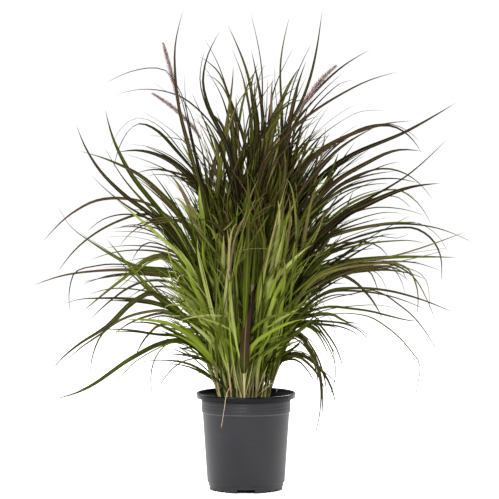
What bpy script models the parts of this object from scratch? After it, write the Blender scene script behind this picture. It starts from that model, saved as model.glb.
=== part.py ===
"""Potted fountain grass clump: a nursery pot, its potting mix and the shoots of the grass."""
import math
import random

import bmesh
import bpy
import numpy as np
from mathutils import Vector
from mathutils.bvhtree import BVHTree

# Real sizes in metres
POT_HEIGHT = 0.222
LIP_RADIUS = 0.1143
LIP_BOTTOM = 0.2100
MOUTH_RADIUS = 0.1088
COLLAR_RADIUS = 0.1022
COLLAR_BOTTOM = 0.1785
BODY_TOP_RADIUS = 0.0999
BODY_BOTTOM_RADIUS = 0.0891
FOOT_HEIGHT = 0.0155
FOOT_RADIUS = 0.0858
WALL = 0.0018
FLOOR = 0.0025
POT_STEPS = 20
SOIL_TOP = 0.198
SOIL_RADIUS = 0.0992
GAP = 0.0003

# Drain notches round the foot: angle in degrees, width and height
BIG_NOTCH = (0.040, 0.0085)
SMALL_NOTCH = (0.008, 0.0040)
BIG_NOTCH_ANGLES = (0, 90, 180, 270)
SMALL_NOTCH_ANGLES = (37, 53)
NOTCH_DEPTH = 0.018
NOTCH_BELOW = 0.004

# The pot's profile from the inside of the collar over the lip to the outside of the collar
RIM = slice(5, 12)

# The clump
SEED = 11
CLUMP_RADIUS = 0.0605
CLUMP_CENTRE_X = -0.003
STEM_PITCH = 0.0172
STEM_HALF = 0.0021
STEM_TOP_HALF = 0.0015
ROOT_HALF = 0.004
ROOT_SPACING = 0.0095
APEX_DEPTH = 0.058
STALK_RADIUS = 0.0016
BLADE_KEEL = 0.20
BLADE_TOLERANCE = 0.0036
MAX_BLADES = 6
CLEARANCE = 0.0005
INNER_SIDE = 0.0000001
STEM_TOP = 0.47
STEM_TOP_DROP = 0.10
STEM_TOP_SPREAD = 0.03

# How far a blade leans out in depth over its length: the slopes to try, in order
SLOPES = (0.15, 0.3, 0.0, 0.45, 0.6, -0.15, 0.75, -0.3, 0.9, -0.45, -0.6)
FRONT_SLOPES = (0.15, 0.05, 0.25, 0.35, 0.45, 0.60)
FRONT_ROW = -0.008
STEMS_TRIED = 15
HEIGHTS_TRIED = 3
DROPS = (0.0, 0.010, 0.020, 0.031, -0.010, 0.042, 0.054, 0.066)
REAL_WIDTHS = (0.0055, 0.0080)

# Blades that fill the dense middle of the clump by rule, all round, and its outline
FILLER_COUNT = 46
FILLER_WIDTHS = (0.0065, 0.0105)
FILLER_LENGTHS = (0.30, 0.62)
FILLER_DROOPS = (25, 125)
CROWN_CENTRE_X = -0.004
CROWN_HALF = 0.075
CROWN_SPREAD = 0.62
CROWN_BOTTOM = 0.235
CROWN_WIDEST = 0.46
CROWN_NARROWS = 0.62
CROWN_TAPER = 0.28
CROWN_TOP = 0.93
LOWEST_FILLER = 0.262

# Where the clump was looked at from, so that depth keeps a blade's place as seen
VIEW_X = 0.008
VIEW_HEIGHT = 0.80
VIEW_DISTANCE = 5.2

# Blades as seen from the front: widest millimetres seen, how purple (0 to 1), points (x, z) in
# millimetres from the clump out to the tip
SEEN_BLADES = (
    # upper left
    (6.0, 0.70, ((-95, 650), (-120, 765), (-140, 850), (-160, 930), (-163, 1000), (-157, 1045),
                 (-142, 1100))),
    (3.0, 0.70, ((-120, 790), (-150, 890), (-165, 938), (-180, 957), (-235, 963), (-290, 943),
                 (-322, 930))),
    (5.0, 0.75, ((-60, 810), (-90, 848), (-120, 880), (-145, 897), (-200, 914), (-262, 914),
                 (-298, 904))),
    (2.5, 0.60, ((-130, 860), (-150, 898), (-172, 906), (-190, 921), (-215, 936))),
    (3.0, 0.50, ((-100, 740), (-130, 793), (-150, 801), (-178, 807), (-222, 811))),
    (3.0, 0.50, ((-118, 770), (-150, 800), (-170, 822), (-205, 848), (-240, 868))),
    (5.0, 0.60, ((-95, 690), (-120, 727), (-150, 765), (-180, 797), (-205, 820), (-225, 834),
                 (-243, 838), (-260, 830), (-275, 812), (-290, 782), (-300, 752), (-304, 728))),
    (10.0, 0.10, ((-95, 690), (-115, 730), (-130, 757), (-143, 778), (-152, 802))),
    (11.0, 0.90, ((-110, 690), (-135, 722), (-160, 743), (-190, 761), (-220, 773), (-250, 777),
                  (-298, 772))),
    (3.0, 0.60, ((-150, 742), (-175, 757), (-205, 771), (-238, 790))),
    (5.0, 0.70, ((-105, 680), (-140, 700), (-178, 722), (-230, 755), (-285, 771))),
    (3.5, 0.50, ((-100, 700), (-130, 716), (-160, 725), (-190, 729), (-220, 733), (-255, 723))),
    (3.0, 0.50, ((-150, 722), (-185, 730), (-210, 736), (-235, 741))),
    (8.0, 0.35, ((-150, 570), (-185, 620), (-212, 657), (-235, 690), (-255, 712), (-272, 738),
                 (-292, 776), (-305, 808), (-322, 872))),
    (7.0, 0.75, ((-160, 570), (-200, 615), (-235, 645), (-262, 662), (-320, 716), (-345, 745),
                 (-365, 780), (-380, 813), (-388, 836))),
    (8.0, 0.70, ((-145, 620), (-165, 643), (-195, 676), (-220, 703), (-250, 723), (-310, 753),
                 (-382, 776))),
    (3.0, 0.40, ((-165, 655), (-182, 682), (-200, 707), (-220, 735))),
    (3.0, 0.50, ((-105, 615), (-125, 645), (-145, 675), (-165, 703), (-205, 742))),
    (4.5, 0.60, ((-180, 625), (-205, 645), (-240, 658), (-270, 666), (-300, 667), (-330, 665),
                 (-360, 656), (-390, 639), (-420, 611), (-466, 567))),
    (3.5, 0.50, ((-160, 590), (-200, 612), (-235, 625), (-265, 631), (-300, 627), (-332, 617),
                 (-364, 591))),
    (4.5, 0.60, ((-165, 600), (-195, 622), (-225, 631), (-260, 626), (-290, 616), (-322, 593),
                 (-378, 561), (-402, 540), (-418, 518), (-432, 498))),
    (8.0, 0.20, ((-145, 530), (-175, 558), (-200, 582), (-225, 602), (-245, 622), (-270, 643),
                 (-298, 665))),
    (3.5, 0.50, ((-165, 560), (-185, 570), (-210, 582), (-245, 589), (-310, 591))),
    (3.0, 0.50, ((-190, 575), (-218, 592), (-240, 600), (-270, 600), (-312, 597))),
    (3.0, 0.40, ((-185, 558), (-215, 568), (-245, 577), (-280, 581), (-325, 577))),
    (3.5, 0.40, ((-165, 545), (-195, 553), (-225, 558), (-250, 557))),
    (3.0, 0.60, ((-180, 620), (-210, 613), (-240, 603), (-262, 590), (-278, 574), (-290, 558))),
    (3.0, 0.60, ((-200, 560), (-235, 562), (-248, 548), (-258, 530), (-263, 518))),
    # lower left
    (5.0, 0.80, ((-135, 520), (-160, 534), (-190, 543), (-225, 548), (-265, 548), (-300, 544),
                 (-358, 526))),
    (4.0, 0.35, ((-150, 478), (-180, 495), (-220, 505), (-250, 510), (-275, 523), (-340, 558),
                 (-370, 577), (-398, 600), (-416, 620), (-430, 650))),
    (7.0, 0.70, ((-85, 455), (-110, 490), (-155, 491), (-200, 498), (-260, 503), (-320, 502),
                 (-380, 497), (-430, 488), (-490, 467))),
    (3.0, 0.50, ((-150, 500), (-200, 507), (-300, 513), (-370, 507), (-397, 492), (-404, 462),
                 (-404, 425), (-402, 398))),
    (10.0, 0.45, ((-125, 480), (-150, 503), (-178, 524), (-202, 536), (-225, 521), (-250, 503),
                  (-280, 484), (-310, 459), (-340, 433), (-376, 407))),
    (7.0, 0.65, ((-130, 385), (-160, 412), (-190, 434), (-215, 456), (-235, 483), (-255, 503),
                 (-297, 549), (-320, 575))),
    (3.5, 0.60, ((-145, 420), (-170, 436), (-200, 443), (-222, 447), (-245, 457), (-275, 461),
                 (-310, 460), (-365, 446))),
    (4.0, 0.60, ((-140, 395), (-170, 412), (-205, 421), (-245, 427), (-290, 434), (-325, 437),
                 (-360, 438), (-390, 434), (-422, 423))),
    (4.5, 0.65, ((-150, 465), (-190, 477), (-230, 477), (-262, 466), (-290, 449), (-310, 433),
                 (-330, 411), (-365, 382))),
    (8.0, 0.60, ((-130, 375), (-160, 405), (-190, 437), (-217, 451), (-245, 440), (-275, 416),
                 (-300, 394), (-322, 372), (-350, 357), (-385, 332), (-410, 311), (-435, 287),
                 (-453, 262))),
    (5.0, 0.70, ((-130, 380), (-160, 400), (-200, 411), (-240, 402), (-275, 392), (-305, 379),
                 (-325, 362), (-340, 338), (-351, 310), (-357, 280), (-358, 246))),
    (4.0, 0.40, ((-115, 320), (-140, 345), (-170, 353), (-200, 354), (-235, 360), (-270, 366),
                 (-337, 367))),
    (8.0, 0.15, ((-90, 310), (-115, 335), (-145, 362), (-175, 379), (-210, 387), (-282, 388))),
    (4.5, 0.40, ((-110, 325), (-140, 348), (-170, 361), (-200, 376), (-235, 384), (-275, 382))),
    (9.0, 0.45, ((-85, 285), (-108, 315), (-130, 334), (-155, 341), (-190, 336), (-225, 320),
                 (-262, 301), (-300, 277), (-330, 257), (-365, 232), (-400, 216), (-450, 203))),
    (6.0, 0.55, ((-120, 345), (-150, 368), (-178, 380), (-200, 376), (-222, 358), (-238, 335),
                 (-250, 312), (-262, 284))),
    (3.5, 0.35, ((-110, 310), (-140, 330), (-170, 336), (-200, 324), (-235, 305), (-262, 286),
                 (-280, 266), (-310, 243), (-362, 201))),
    (3.5, 0.60, ((-105, 300), (-135, 327), (-160, 337), (-185, 330), (-203, 310), (-215, 282),
                 (-219, 250), (-216, 220), (-208, 192), (-195, 165), (-178, 144))),
    (3.0, 0.60, ((-75, 280), (-95, 297), (-125, 297), (-150, 290), (-172, 272), (-190, 250),
                 (-215, 207))),
    (3.5, 0.60, ((-65, 235), (-85, 255), (-105, 275), (-135, 287), (-170, 292), (-210, 295),
                 (-268, 286))),
    (4.0, 0.70, ((-75, 285), (-100, 298), (-130, 306), (-155, 317), (-182, 329))),
    (3.0, 0.50, ((-80, 290), (-105, 301), (-140, 304), (-182, 309))),
    (3.0, 0.60, ((-60, 240), (-80, 257), (-105, 263), (-142, 268))),
    (2.5, 0.60, ((-70, 250), (-88, 259), (-98, 251), (-104, 236))),
    # top
    (7.0, 0.85, ((-30, 740), (-48, 800), (-65, 838), (-82, 872), (-97, 915), (-98, 945),
                 (-93, 975), (-82, 1004), (-58, 1052))),
    (4.5, 0.80, ((10, 740), (-2, 795), (-20, 848), (-35, 893), (-52, 940), (-65, 977),
                 (-95, 1032))),
    (7.0, 0.80, ((-22, 720), (-28, 800), (-38, 860), (-45, 905), (-52, 940), (-72, 965),
                 (-107, 992))),
    (4.0, 0.80, ((-32, 800), (-42, 860), (-55, 898), (-72, 928), (-100, 975))),
    (7.0, 0.80, ((22, 760), (20, 850), (16, 900), (5, 945), (-8, 978), (-22, 1018), (-42, 1064))),
    (3.5, 0.60, ((35, 850), (38, 920), (37, 950), (29, 985), (22, 1020), (10, 1092))),
    (8.0, 0.55, ((42, 800), (38, 860), (32, 905), (24, 940), (18, 970), (12, 1006))),
    (3.0, 0.50, ((14, 800), (10, 850), (3, 890), (0, 930), (-3, 960))),
    (7.0, 0.70, ((25, 780), (22, 850), (15, 905), (13, 935), (20, 962), (28, 978))),
    (6.0, 0.35, ((78, 740), (83, 830), (82, 900), (80, 960), (81, 1000), (88, 1032), (99, 1082))),
    (5.0, 0.70, ((50, 790), (54, 845), (58, 890), (68, 925), (80, 953), (95, 980), (109, 1012))),
    (4.5, 0.75, ((88, 800), (95, 865), (102, 908), (113, 938), (127, 973), (150, 1022))),
    (6.0, 0.70, ((85, 780), (105, 845), (122, 872), (134, 908), (139, 945), (147, 978),
                 (153, 1005), (174, 1098))),
    # upper right
    (4.0, 0.75, ((105, 845), (138, 887), (165, 918), (190, 942), (220, 968), (284, 1007))),
    (5.0, 0.75, ((88, 765), (118, 808), (138, 838), (160, 865), (180, 895), (195, 915),
                 (218, 931), (248, 938))),
    (7.0, 0.65, ((85, 805), (120, 835), (155, 857), (188, 880), (215, 902), (245, 921),
                 (285, 938), (350, 957))),
    (3.5, 0.60, ((140, 790), (155, 825), (172, 850), (190, 880))),
    (4.0, 0.70, ((130, 760), (160, 798), (188, 822), (215, 842), (245, 860), (280, 868),
                 (318, 868))),
    (7.0, 0.55, ((125, 735), (150, 762), (190, 789), (235, 812), (280, 826), (320, 838),
                 (385, 845))),
    (9.0, 0.70, ((130, 690), (160, 722), (190, 751), (215, 782), (245, 803), (300, 833))),
    (3.0, 0.50, ((180, 760), (240, 812), (300, 833), (335, 832), (360, 820), (382, 800),
                 (402, 770))),
    (9.0, 0.80, ((160, 705), (200, 740), (235, 762), (270, 779), (315, 801), (362, 818),
                 (400, 839), (440, 865), (480, 886))),
    (11.0, 0.90, ((160, 660), (200, 700), (232, 724), (275, 747), (318, 765), (350, 778),
                  (402, 775))),
    (4.5, 0.70, ((185, 700), (215, 748), (230, 772), (250, 798))),
    (4.0, 0.70, ((180, 690), (215, 728), (240, 748), (285, 783))),
    (5.0, 0.70, ((160, 640), (195, 682), (225, 702), (255, 719), (290, 732), (325, 735),
                 (355, 728), (385, 711), (410, 688), (427, 665))),
    (4.0, 0.60, ((215, 620), (265, 653), (300, 673), (340, 700), (372, 722), (400, 744),
                 (430, 772), (461, 804))),
    (4.0, 0.60, ((165, 640), (200, 675), (232, 692), (275, 706), (320, 713), (360, 710),
                 (398, 702))),
    (3.0, 0.50, ((170, 650), (220, 697), (255, 713), (290, 719), (345, 730))),
    (4.5, 0.70, ((170, 620), (205, 657), (235, 676), (265, 692), (300, 710))),
    (5.0, 0.70, ((165, 600), (195, 635), (235, 661), (270, 678), (318, 690))),
    (11.0, 0.90, ((150, 560), (180, 590), (210, 617), (245, 640), (295, 661), (340, 677),
                  (385, 695), (420, 701), (445, 702))),
    (3.5, 0.40, ((190, 615), (240, 655), (300, 680), (345, 687), (370, 676), (395, 654),
                 (412, 630), (424, 608))),
    (3.0, 0.40, ((200, 610), (240, 632), (275, 643), (310, 647), (350, 644), (410, 628))),
    (4.0, 0.70, ((175, 575), (210, 592), (245, 607), (278, 626), (300, 633), (360, 632))),
    (5.0, 0.80, ((160, 570), (200, 587), (240, 603), (275, 612), (304, 622))),
    (9.0, 0.55, ((140, 560), (170, 572), (205, 582), (245, 594), (285, 604), (330, 611),
                 (405, 610))),
    (5.0, 0.50, ((180, 572), (230, 590), (290, 604), (340, 609), (385, 605), (425, 602),
                 (455, 594), (485, 583), (518, 567))),
    (5.0, 0.70, ((195, 510), (240, 536), (275, 560), (310, 585), (340, 607), (378, 629))),
    (6.0, 0.75, ((190, 505), (250, 515), (315, 530), (360, 541), (400, 556), (440, 571),
                 (503, 591))),
    (3.0, 0.50, ((260, 520), (320, 533), (365, 540), (405, 546), (465, 554))),
    (4.0, 0.60, ((230, 560), (280, 575), (320, 581), (352, 577), (362, 580), (378, 590))),
    (3.0, 0.40, ((200, 545), (260, 556), (300, 562), (340, 570), (370, 571), (415, 563))),
    # lower right
    (10.0, 0.40, ((150, 500), (180, 512), (220, 520), (270, 527), (320, 531), (370, 532),
                  (420, 534), (484, 532))),
    (4.5, 0.75, ((200, 505), (250, 512), (300, 520), (350, 523), (385, 520), (415, 510),
                 (450, 500))),
    (4.0, 0.75, ((120, 395), (160, 422), (205, 440), (250, 449), (285, 457), (320, 445),
                 (350, 424), (380, 400), (410, 364), (435, 324), (455, 288), (477, 260))),
    (5.0, 0.75, ((180, 500), (240, 512), (300, 518), (345, 513), (375, 495), (395, 470),
                 (412, 440), (425, 413), (439, 370))),
    (3.5, 0.60, ((230, 570), (300, 590), (355, 600), (392, 597), (420, 578), (437, 558),
                 (446, 530), (448, 500), (447, 474))),
    (4.0, 0.70, ((230, 500), (300, 512), (355, 515), (378, 498), (388, 478), (392, 450),
                 (393, 420), (391, 392))),
    (3.0, 0.60, ((260, 500), (330, 508), (380, 505), (405, 490), (416, 472), (420, 442),
                 (420, 410))),
    (3.5, 0.70, ((200, 480), (260, 505), (290, 503), (305, 483), (318, 458), (328, 435))),
    (3.5, 0.70, ((240, 500), (310, 512), (340, 505), (352, 485), (360, 458), (367, 440))),
    (4.0, 0.70, ((200, 490), (255, 505), (283, 500), (295, 478), (302, 455), (306, 428))),
    (4.5, 0.75, ((170, 475), (215, 492), (237, 484), (262, 462), (285, 440), (300, 412),
                 (316, 386))),
    (12.0, 0.80, ((130, 470), (165, 485), (200, 493), (235, 498), (270, 499), (340, 503))),
    (4.5, 0.80, ((220, 500), (270, 506), (310, 509), (362, 513))),
    (4.0, 0.60, ((120, 400), (150, 430), (180, 451), (220, 460), (262, 461), (310, 457),
                 (345, 452), (385, 441), (420, 426), (475, 406))),
    (7.0, 0.40, ((150, 510), (190, 535), (225, 557), (255, 568), (285, 565), (310, 553),
                 (328, 526))),
    (10.0, 0.55, ((110, 380), (150, 408), (190, 418), (240, 414), (285, 408), (330, 397),
                  (375, 387), (410, 385))),
    (3.0, 0.50, ((150, 400), (200, 415), (255, 421), (295, 423), (335, 417), (365, 404))),
    (8.0, 0.30, ((110, 375), (150, 395), (180, 403), (205, 399), (222, 387), (266, 381))),
    (5.0, 0.80, ((105, 370), (140, 384), (175, 385), (220, 379), (250, 371), (272, 352),
                 (284, 335), (291, 295))),
    (3.5, 0.50, ((150, 385), (200, 402), (250, 402), (285, 395), (320, 374), (355, 345),
                 (380, 315), (398, 290), (399, 265), (394, 238), (387, 205), (372, 175),
                 (352, 157), (322, 148))),
    (2.5, 0.50, ((200, 385), (240, 378), (275, 358), (295, 335), (320, 300))),
    (4.0, 0.70, ((140, 400), (172, 408), (190, 398), (197, 372), (200, 330))),
    (5.0, 0.75, ((95, 365), (130, 384), (155, 385), (178, 365), (200, 335), (215, 305),
                 (222, 275), (223, 243))),
    (4.0, 0.45, ((85, 345), (115, 375), (140, 377), (165, 360), (188, 328), (202, 295),
                 (206, 265), (198, 228), (176, 189))),
    (9.0, 0.80, ((60, 310), (85, 345), (108, 360), (130, 341), (150, 313), (163, 278),
                 (170, 240), (171, 200), (165, 150), (150, 102), (127, 60))),
    (4.0, 0.80, ((70, 330), (110, 352), (140, 332), (160, 297), (171, 260), (175, 215),
                 (172, 142))),
    (7.0, 0.55, ((60, 280), (90, 305), (122, 311), (150, 295), (178, 266), (196, 232),
                 (208, 184))),
    (3.0, 0.35, ((75, 300), (110, 318), (140, 310), (168, 280), (195, 255), (225, 230),
                 (276, 204))),
    (5.0, 0.20, ((55, 285), (80, 303), (105, 318), (132, 337))),
    (4.0, 0.70, ((60, 300), (85, 325), (102, 331), (120, 330))),
    (4.5, 0.60, ((110, 440), (140, 460), (160, 448), (178, 425), (188, 402))),
)

# Blades that lie in front of the clump, in the same terms
FRONT_BLADES = (
    (13.0, 0.85, ((-20, 270), (-10, 320), (5, 370), (8, 400), (10, 440), (10, 500), (12, 560))),
    (13.0, 0.05, ((-38, 440), (-50, 490), (-62, 525), (-78, 562), (-95, 605), (-105, 655),
                  (-108, 700))),
    (9.0, 0.08, ((0, 450), (-5, 500), (-16, 555), (-27, 595), (-44, 640), (-60, 680))),
    (8.0, 0.05, ((-30, 440), (-30, 500), (-27, 560), (-20, 620), (-18, 660))),
    (8.0, 0.35, ((1, 470), (3, 520), (5, 575), (7, 640), (6, 690), (2, 740))),
    (6.0, 0.35, ((16, 470), (19, 515), (22, 550), (27, 605), (38, 660))),
    (13.0, 0.15, ((34, 480), (41, 540), (50, 600), (59, 660), (62, 720))),
    (12.0, 0.05, ((60, 500), (70, 560), (80, 590), (97, 626), (118, 668))),
    (9.0, 0.55, ((70, 430), (80, 475), (90, 510), (101, 537), (114, 570), (121, 592), (121, 612),
                 (112, 640))),
    (12.0, 0.10, ((-27, 290), (-38, 340), (-45, 400), (-45, 430), (-40, 470))),
    (6.0, 0.80, ((-64, 345), (-62, 400), (-52, 430), (-31, 469), (-20, 490))),
    (4.5, 0.15, ((-62, 325), (-66, 370), (-61, 415), (-50, 445))),
    (8.0, 0.10, ((4, 312), (24, 339), (57, 361), (85, 374), (112, 387), (140, 392))),
    (13.0, 0.25, ((10, 370), (22, 405), (34, 429), (60, 458), (75, 484), (84, 510))),
    (11.0, 0.10, ((-55, 390), (-68, 438), (-88, 462), (-112, 480), (-146, 489))),
    (4.5, 0.15, ((-80, 385), (-90, 418), (-98, 437), (-112, 462), (-119, 467), (-127, 465))),
    (3.0, 0.15, ((60, 350), (66, 385), (70, 420), (72, 445))),
    (3.0, 0.15, ((80, 350), (84, 381), (81, 427), (76, 450))),
)

# Flower spikes as seen from the front: points from the clump up to the tip, where the bristly
# head starts (its share of the way up) and the head's width in millimetres
SEEN_SPIKES = (
    (((-70, 560), (-110, 740), (-145, 850), (-160, 912), (-175, 970), (-189, 1022)), 0.83, 10.0),
    (((-50, 620), (-85, 760), (-110, 815), (-150, 860), (-180, 885), (-214, 907)), 0.80, 10.5),
    (((60, 640), (90, 800), (112, 856), (138, 892), (172, 938), (206, 970)), 0.80, 12.5),
)


def smooth_step(value):
    value = min(max(value, 0.0), 1.0)
    return value * value * (3.0 - 2.0 * value)


def curve_through(points, start_slope, count):
    """Even points along a smooth curve through the given ones, leaving along start_slope."""
    points = np.array(points, dtype=float)
    chords = np.linalg.norm(np.diff(points, axis=0), axis=1)
    marks = np.concatenate(([0.0], np.cumsum(chords)))
    slopes = np.zeros_like(points)
    for i in range(1, len(points) - 1):
        before = (points[i] - points[i - 1]) / chords[i - 1]
        after = (points[i + 1] - points[i]) / chords[i]
        share = chords[i - 1] / (chords[i - 1] + chords[i])
        slopes[i] = before * (1.0 - share) + after * share
    slopes[0] = start_slope
    slopes[-1] = 1.5 * (points[-1] - points[-2]) / chords[-1] - 0.5 * slopes[-2]
    dense = []
    for i, chord in enumerate(chords):
        for t in np.linspace(0.0, 1.0, 9)[: 9 if i == len(chords) - 1 else 8]:
            t2, t3 = t * t, t * t * t
            dense.append((2 * t3 - 3 * t2 + 1) * points[i] + (3 * t2 - 2 * t3) * points[i + 1]
                         + chord * ((t3 - 2 * t2 + t) * slopes[i] + (t3 - t2) * slopes[i + 1]))
    dense = np.array(dense)
    run = np.concatenate(([0.0], np.cumsum(np.linalg.norm(np.diff(dense, axis=0), axis=1))))
    even = np.linspace(0.0, run[-1], count)
    return np.column_stack([np.interp(even, run, dense[:, k]) for k in range(dense.shape[1])])


def few_points(path, tolerance):
    """Indices of the fewest points that keep the path's shape within the tolerance."""
    keep = {0, len(path) - 1}
    spans = [(0, len(path) - 1)]
    while spans:
        first, last = spans.pop()
        if last - first < 2:
            continue
        line = path[last] - path[first]
        offset = path[first + 1:last] - path[first]
        along = np.clip(offset @ line / max(line @ line, 1e-12), 0.0, 1.0)
        miss = np.linalg.norm(offset - np.outer(along, line), axis=1)
        worst = int(np.argmax(miss))
        if miss[worst] > tolerance:
            split = first + 1 + worst
            keep.add(split)
            spans += [(first, split), (split, last)]
    return sorted(keep)


def from_front(x, z, depth):
    """The point at this depth that is seen where (x, z) lies in the middle plane."""
    grow = (VIEW_DISTANCE + depth) / VIEW_DISTANCE
    return (VIEW_X + (x - VIEW_X) * grow, depth, VIEW_HEIGHT + (z - VIEW_HEIGHT) * grow)


def to_front(point):
    """Where a point is seen, as (x, z) in the middle plane."""
    grow = (VIEW_DISTANCE + point[1]) / VIEW_DISTANCE
    return (VIEW_X + (point[0] - VIEW_X) / grow, VIEW_HEIGHT + (point[2] - VIEW_HEIGHT) / grow)


def stem_point(foot, height):
    """Centre of a stem at a height: the stems fan out from one point below the mix."""
    spread = (height + APEX_DEPTH) / (SOIL_TOP + APEX_DEPTH)
    return np.array((foot[0] * spread, foot[1] * spread, height))


def stem_feet():
    """Feet of the stems, spaced evenly over the clump's round base."""
    rng = random.Random(SEED)
    feet = []
    rows = int(CLUMP_RADIUS / STEM_PITCH) + 2
    for row in range(-rows, rows + 1):
        for column in range(-rows, rows + 1):
            x = (column + 0.5 * (row % 2)) * STEM_PITCH + rng.uniform(-0.0012, 0.0012)
            y = row * STEM_PITCH * math.sqrt(0.75) + rng.uniform(-0.0012, 0.0012)
            if math.hypot(x, y) < CLUMP_RADIUS:
                feet.append((x + CLUMP_CENTRE_X, y))
    return feet


def windings(corners, spots):
    """How many times a closed skin of triangles wraps round each spot."""
    a, b, c = (corners[None, :, k] - spots[:, None] for k in range(3))
    long_a, long_b, long_c = (np.linalg.norm(side, axis=2) for side in (a, b, c))
    turn = np.einsum("ijk,ijk->ij", a, np.cross(b, c))
    rest = (long_a * long_b * long_c + np.einsum("ijk,ijk->ij", a, b) * long_c
            + np.einsum("ijk,ijk->ij", b, c) * long_a + np.einsum("ijk,ijk->ij", c, a) * long_b)
    return np.arctan2(turn, rest).sum(axis=1) / (2 * math.pi)


class Piece:
    """A mesh under way: its outline as points and faces."""

    def __init__(self, points, faces):
        self.points = points
        self.faces = faces
        array = np.array(points)
        self.low = array.min(axis=0)
        self.high = array.max(axis=0)
        self.tree = BVHTree.FromPolygons([Vector(p) for p in points], faces)

    def meets(self, other):
        if (self.low > other.high).any() or (self.high < other.low).any():
            return False
        return bool(self.tree.overlap(other.tree))

    def meets_itself(self):
        """Whether two faces that share no corner cross each other."""
        return any(a < b and not set(self.faces[a]) & set(self.faces[b])
                   for a, b in self.tree.overlap(self.tree))

    def is_inside_out(self):
        """Whether a face of this closed skin of triangles has its inner side outside."""
        corners = np.array(self.points)[np.array(self.faces)]
        normals = np.cross(corners[:, 1] - corners[:, 0], corners[:, 2] - corners[:, 0])
        volume = np.einsum("ij,ij->", corners[:, 0], np.cross(corners[:, 1], corners[:, 2]))
        normals *= math.copysign(1.0, volume) / np.linalg.norm(normals, axis=1)[:, None]
        behind = corners.mean(axis=1) - normals * INNER_SIDE
        return bool((windings(corners, behind) * math.copysign(1.0, volume) < 0.5).any())


def loft(rings, tip=None):
    """Closed skin over rings of equal length, ending in a flat cap or in a tip."""
    sides = len(rings[0])
    points = [p for ring in rings for p in ring]
    faces = [tuple(range(sides))[::-1]]
    for i in range(len(rings) - 1):
        for k in range(sides):
            a = i * sides + k
            b = i * sides + (k + 1) % sides
            faces += [(a, b, b + sides), (a, b + sides, a + sides)]
    last = (len(rings) - 1) * sides
    if tip is None:
        faces.append(tuple(last + k for k in range(sides)))
    else:
        points.append(tip)
        for k in range(sides):
            faces.append((last + k, last + (k + 1) % sides, len(points) - 1))
    return points, faces


def tube(path, radii, sides):
    """Round skin along a path."""
    rings = []
    for i, centre in enumerate(path):
        ahead = path[min(i + 1, len(path) - 1)] - path[max(i - 1, 0)]
        ahead = ahead / np.linalg.norm(ahead)
        right = np.cross(ahead, (0.0, 1.0, 0.0))
        right = right / np.linalg.norm(right)
        front = np.cross(ahead, right)
        rings.append([centre + radii[i] * (math.cos(a) * right + math.sin(a) * front)
                      for a in (2 * math.pi * (k + 0.5) / sides for k in range(sides))])
    return loft(rings)


def blade_width(share):
    """Width along a blade, as a share of its widest: narrow foot, long taper to the tip."""
    foot = 0.25 + 0.75 * smooth_step(share / 0.30)
    return foot * (1.0 - share ** 2.0) ** 0.85


def blade_frames(path, across):
    """Edge direction and upper side along a blade, carried along the path without twist."""
    ahead = np.gradient(path, axis=0)
    ahead = ahead / np.linalg.norm(ahead, axis=1)[:, None]
    frames = []
    edge = across
    for direction in ahead:
        edge = edge - direction * (edge @ direction)
        edge = edge / np.linalg.norm(edge)
        frames.append((edge, np.cross(edge, direction)))
    return frames


class Blade:
    """A keeled blade along a path, its upper side turned by roll about the path."""

    def __init__(self, path, width, roll, across, side, height):
        self.path = path
        self.width = width
        self.roll = roll
        self.side = side
        self.height = height
        self.frames = blade_frames(path, across)
        steps = np.linalg.norm(np.diff(path, axis=0), axis=1)
        self.run = np.concatenate(([0.0], np.cumsum(steps)))
        chosen = few_points(path, BLADE_TOLERANCE)
        if len(chosen) < 4:
            chosen = [0, len(path) // 3, 2 * len(path) // 3, len(path) - 1]
        self.chosen = chosen[1:-1]

    def ring(self, index, extra):
        edge, up = self.frames[index]
        share = self.run[index] / self.run[-1]
        turn = self.roll * smooth_step(share / 0.25)
        edge, up = (math.cos(turn) * edge + math.sin(turn) * up,
                    math.cos(turn) * up - math.sin(turn) * edge)
        half = max(0.5 * self.width * blade_width(share), 0.0008) + extra
        keel = max(2.0 * BLADE_KEEL * half, 0.0007) + extra
        centre = self.path[index] + up * 0.4 * keel
        return [centre - edge * half, centre - up * keel, centre + edge * half]

    def skin(self, root, extra=0.0):
        """Rings from the root triangle outward, and the tip."""
        rings = [self.ring(index, extra) for index in self.chosen]
        if root is not None:
            first = rings[0]
            ahead = rings[1][0] - first[0]
            leaving = first[0] + first[2] - root[0] - root[1]
            ring_turn = np.cross(first[1] - first[0], first[2] - first[0]) @ ahead
            root_turn = np.cross(root[1] - root[0], root[2] - root[0]) @ leaving
            if ring_turn * root_turn < 0:
                root = root[::-1]
            miss = [sum(np.linalg.norm(root[(k + turn) % 3] - first[k]) for k in range(3))
                    for turn in range(3)]
            turn = miss.index(min(miss))
            rings.insert(0, [root[(k + turn) % 3] for k in range(3)])
        return loft(rings, self.path[-1])


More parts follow.
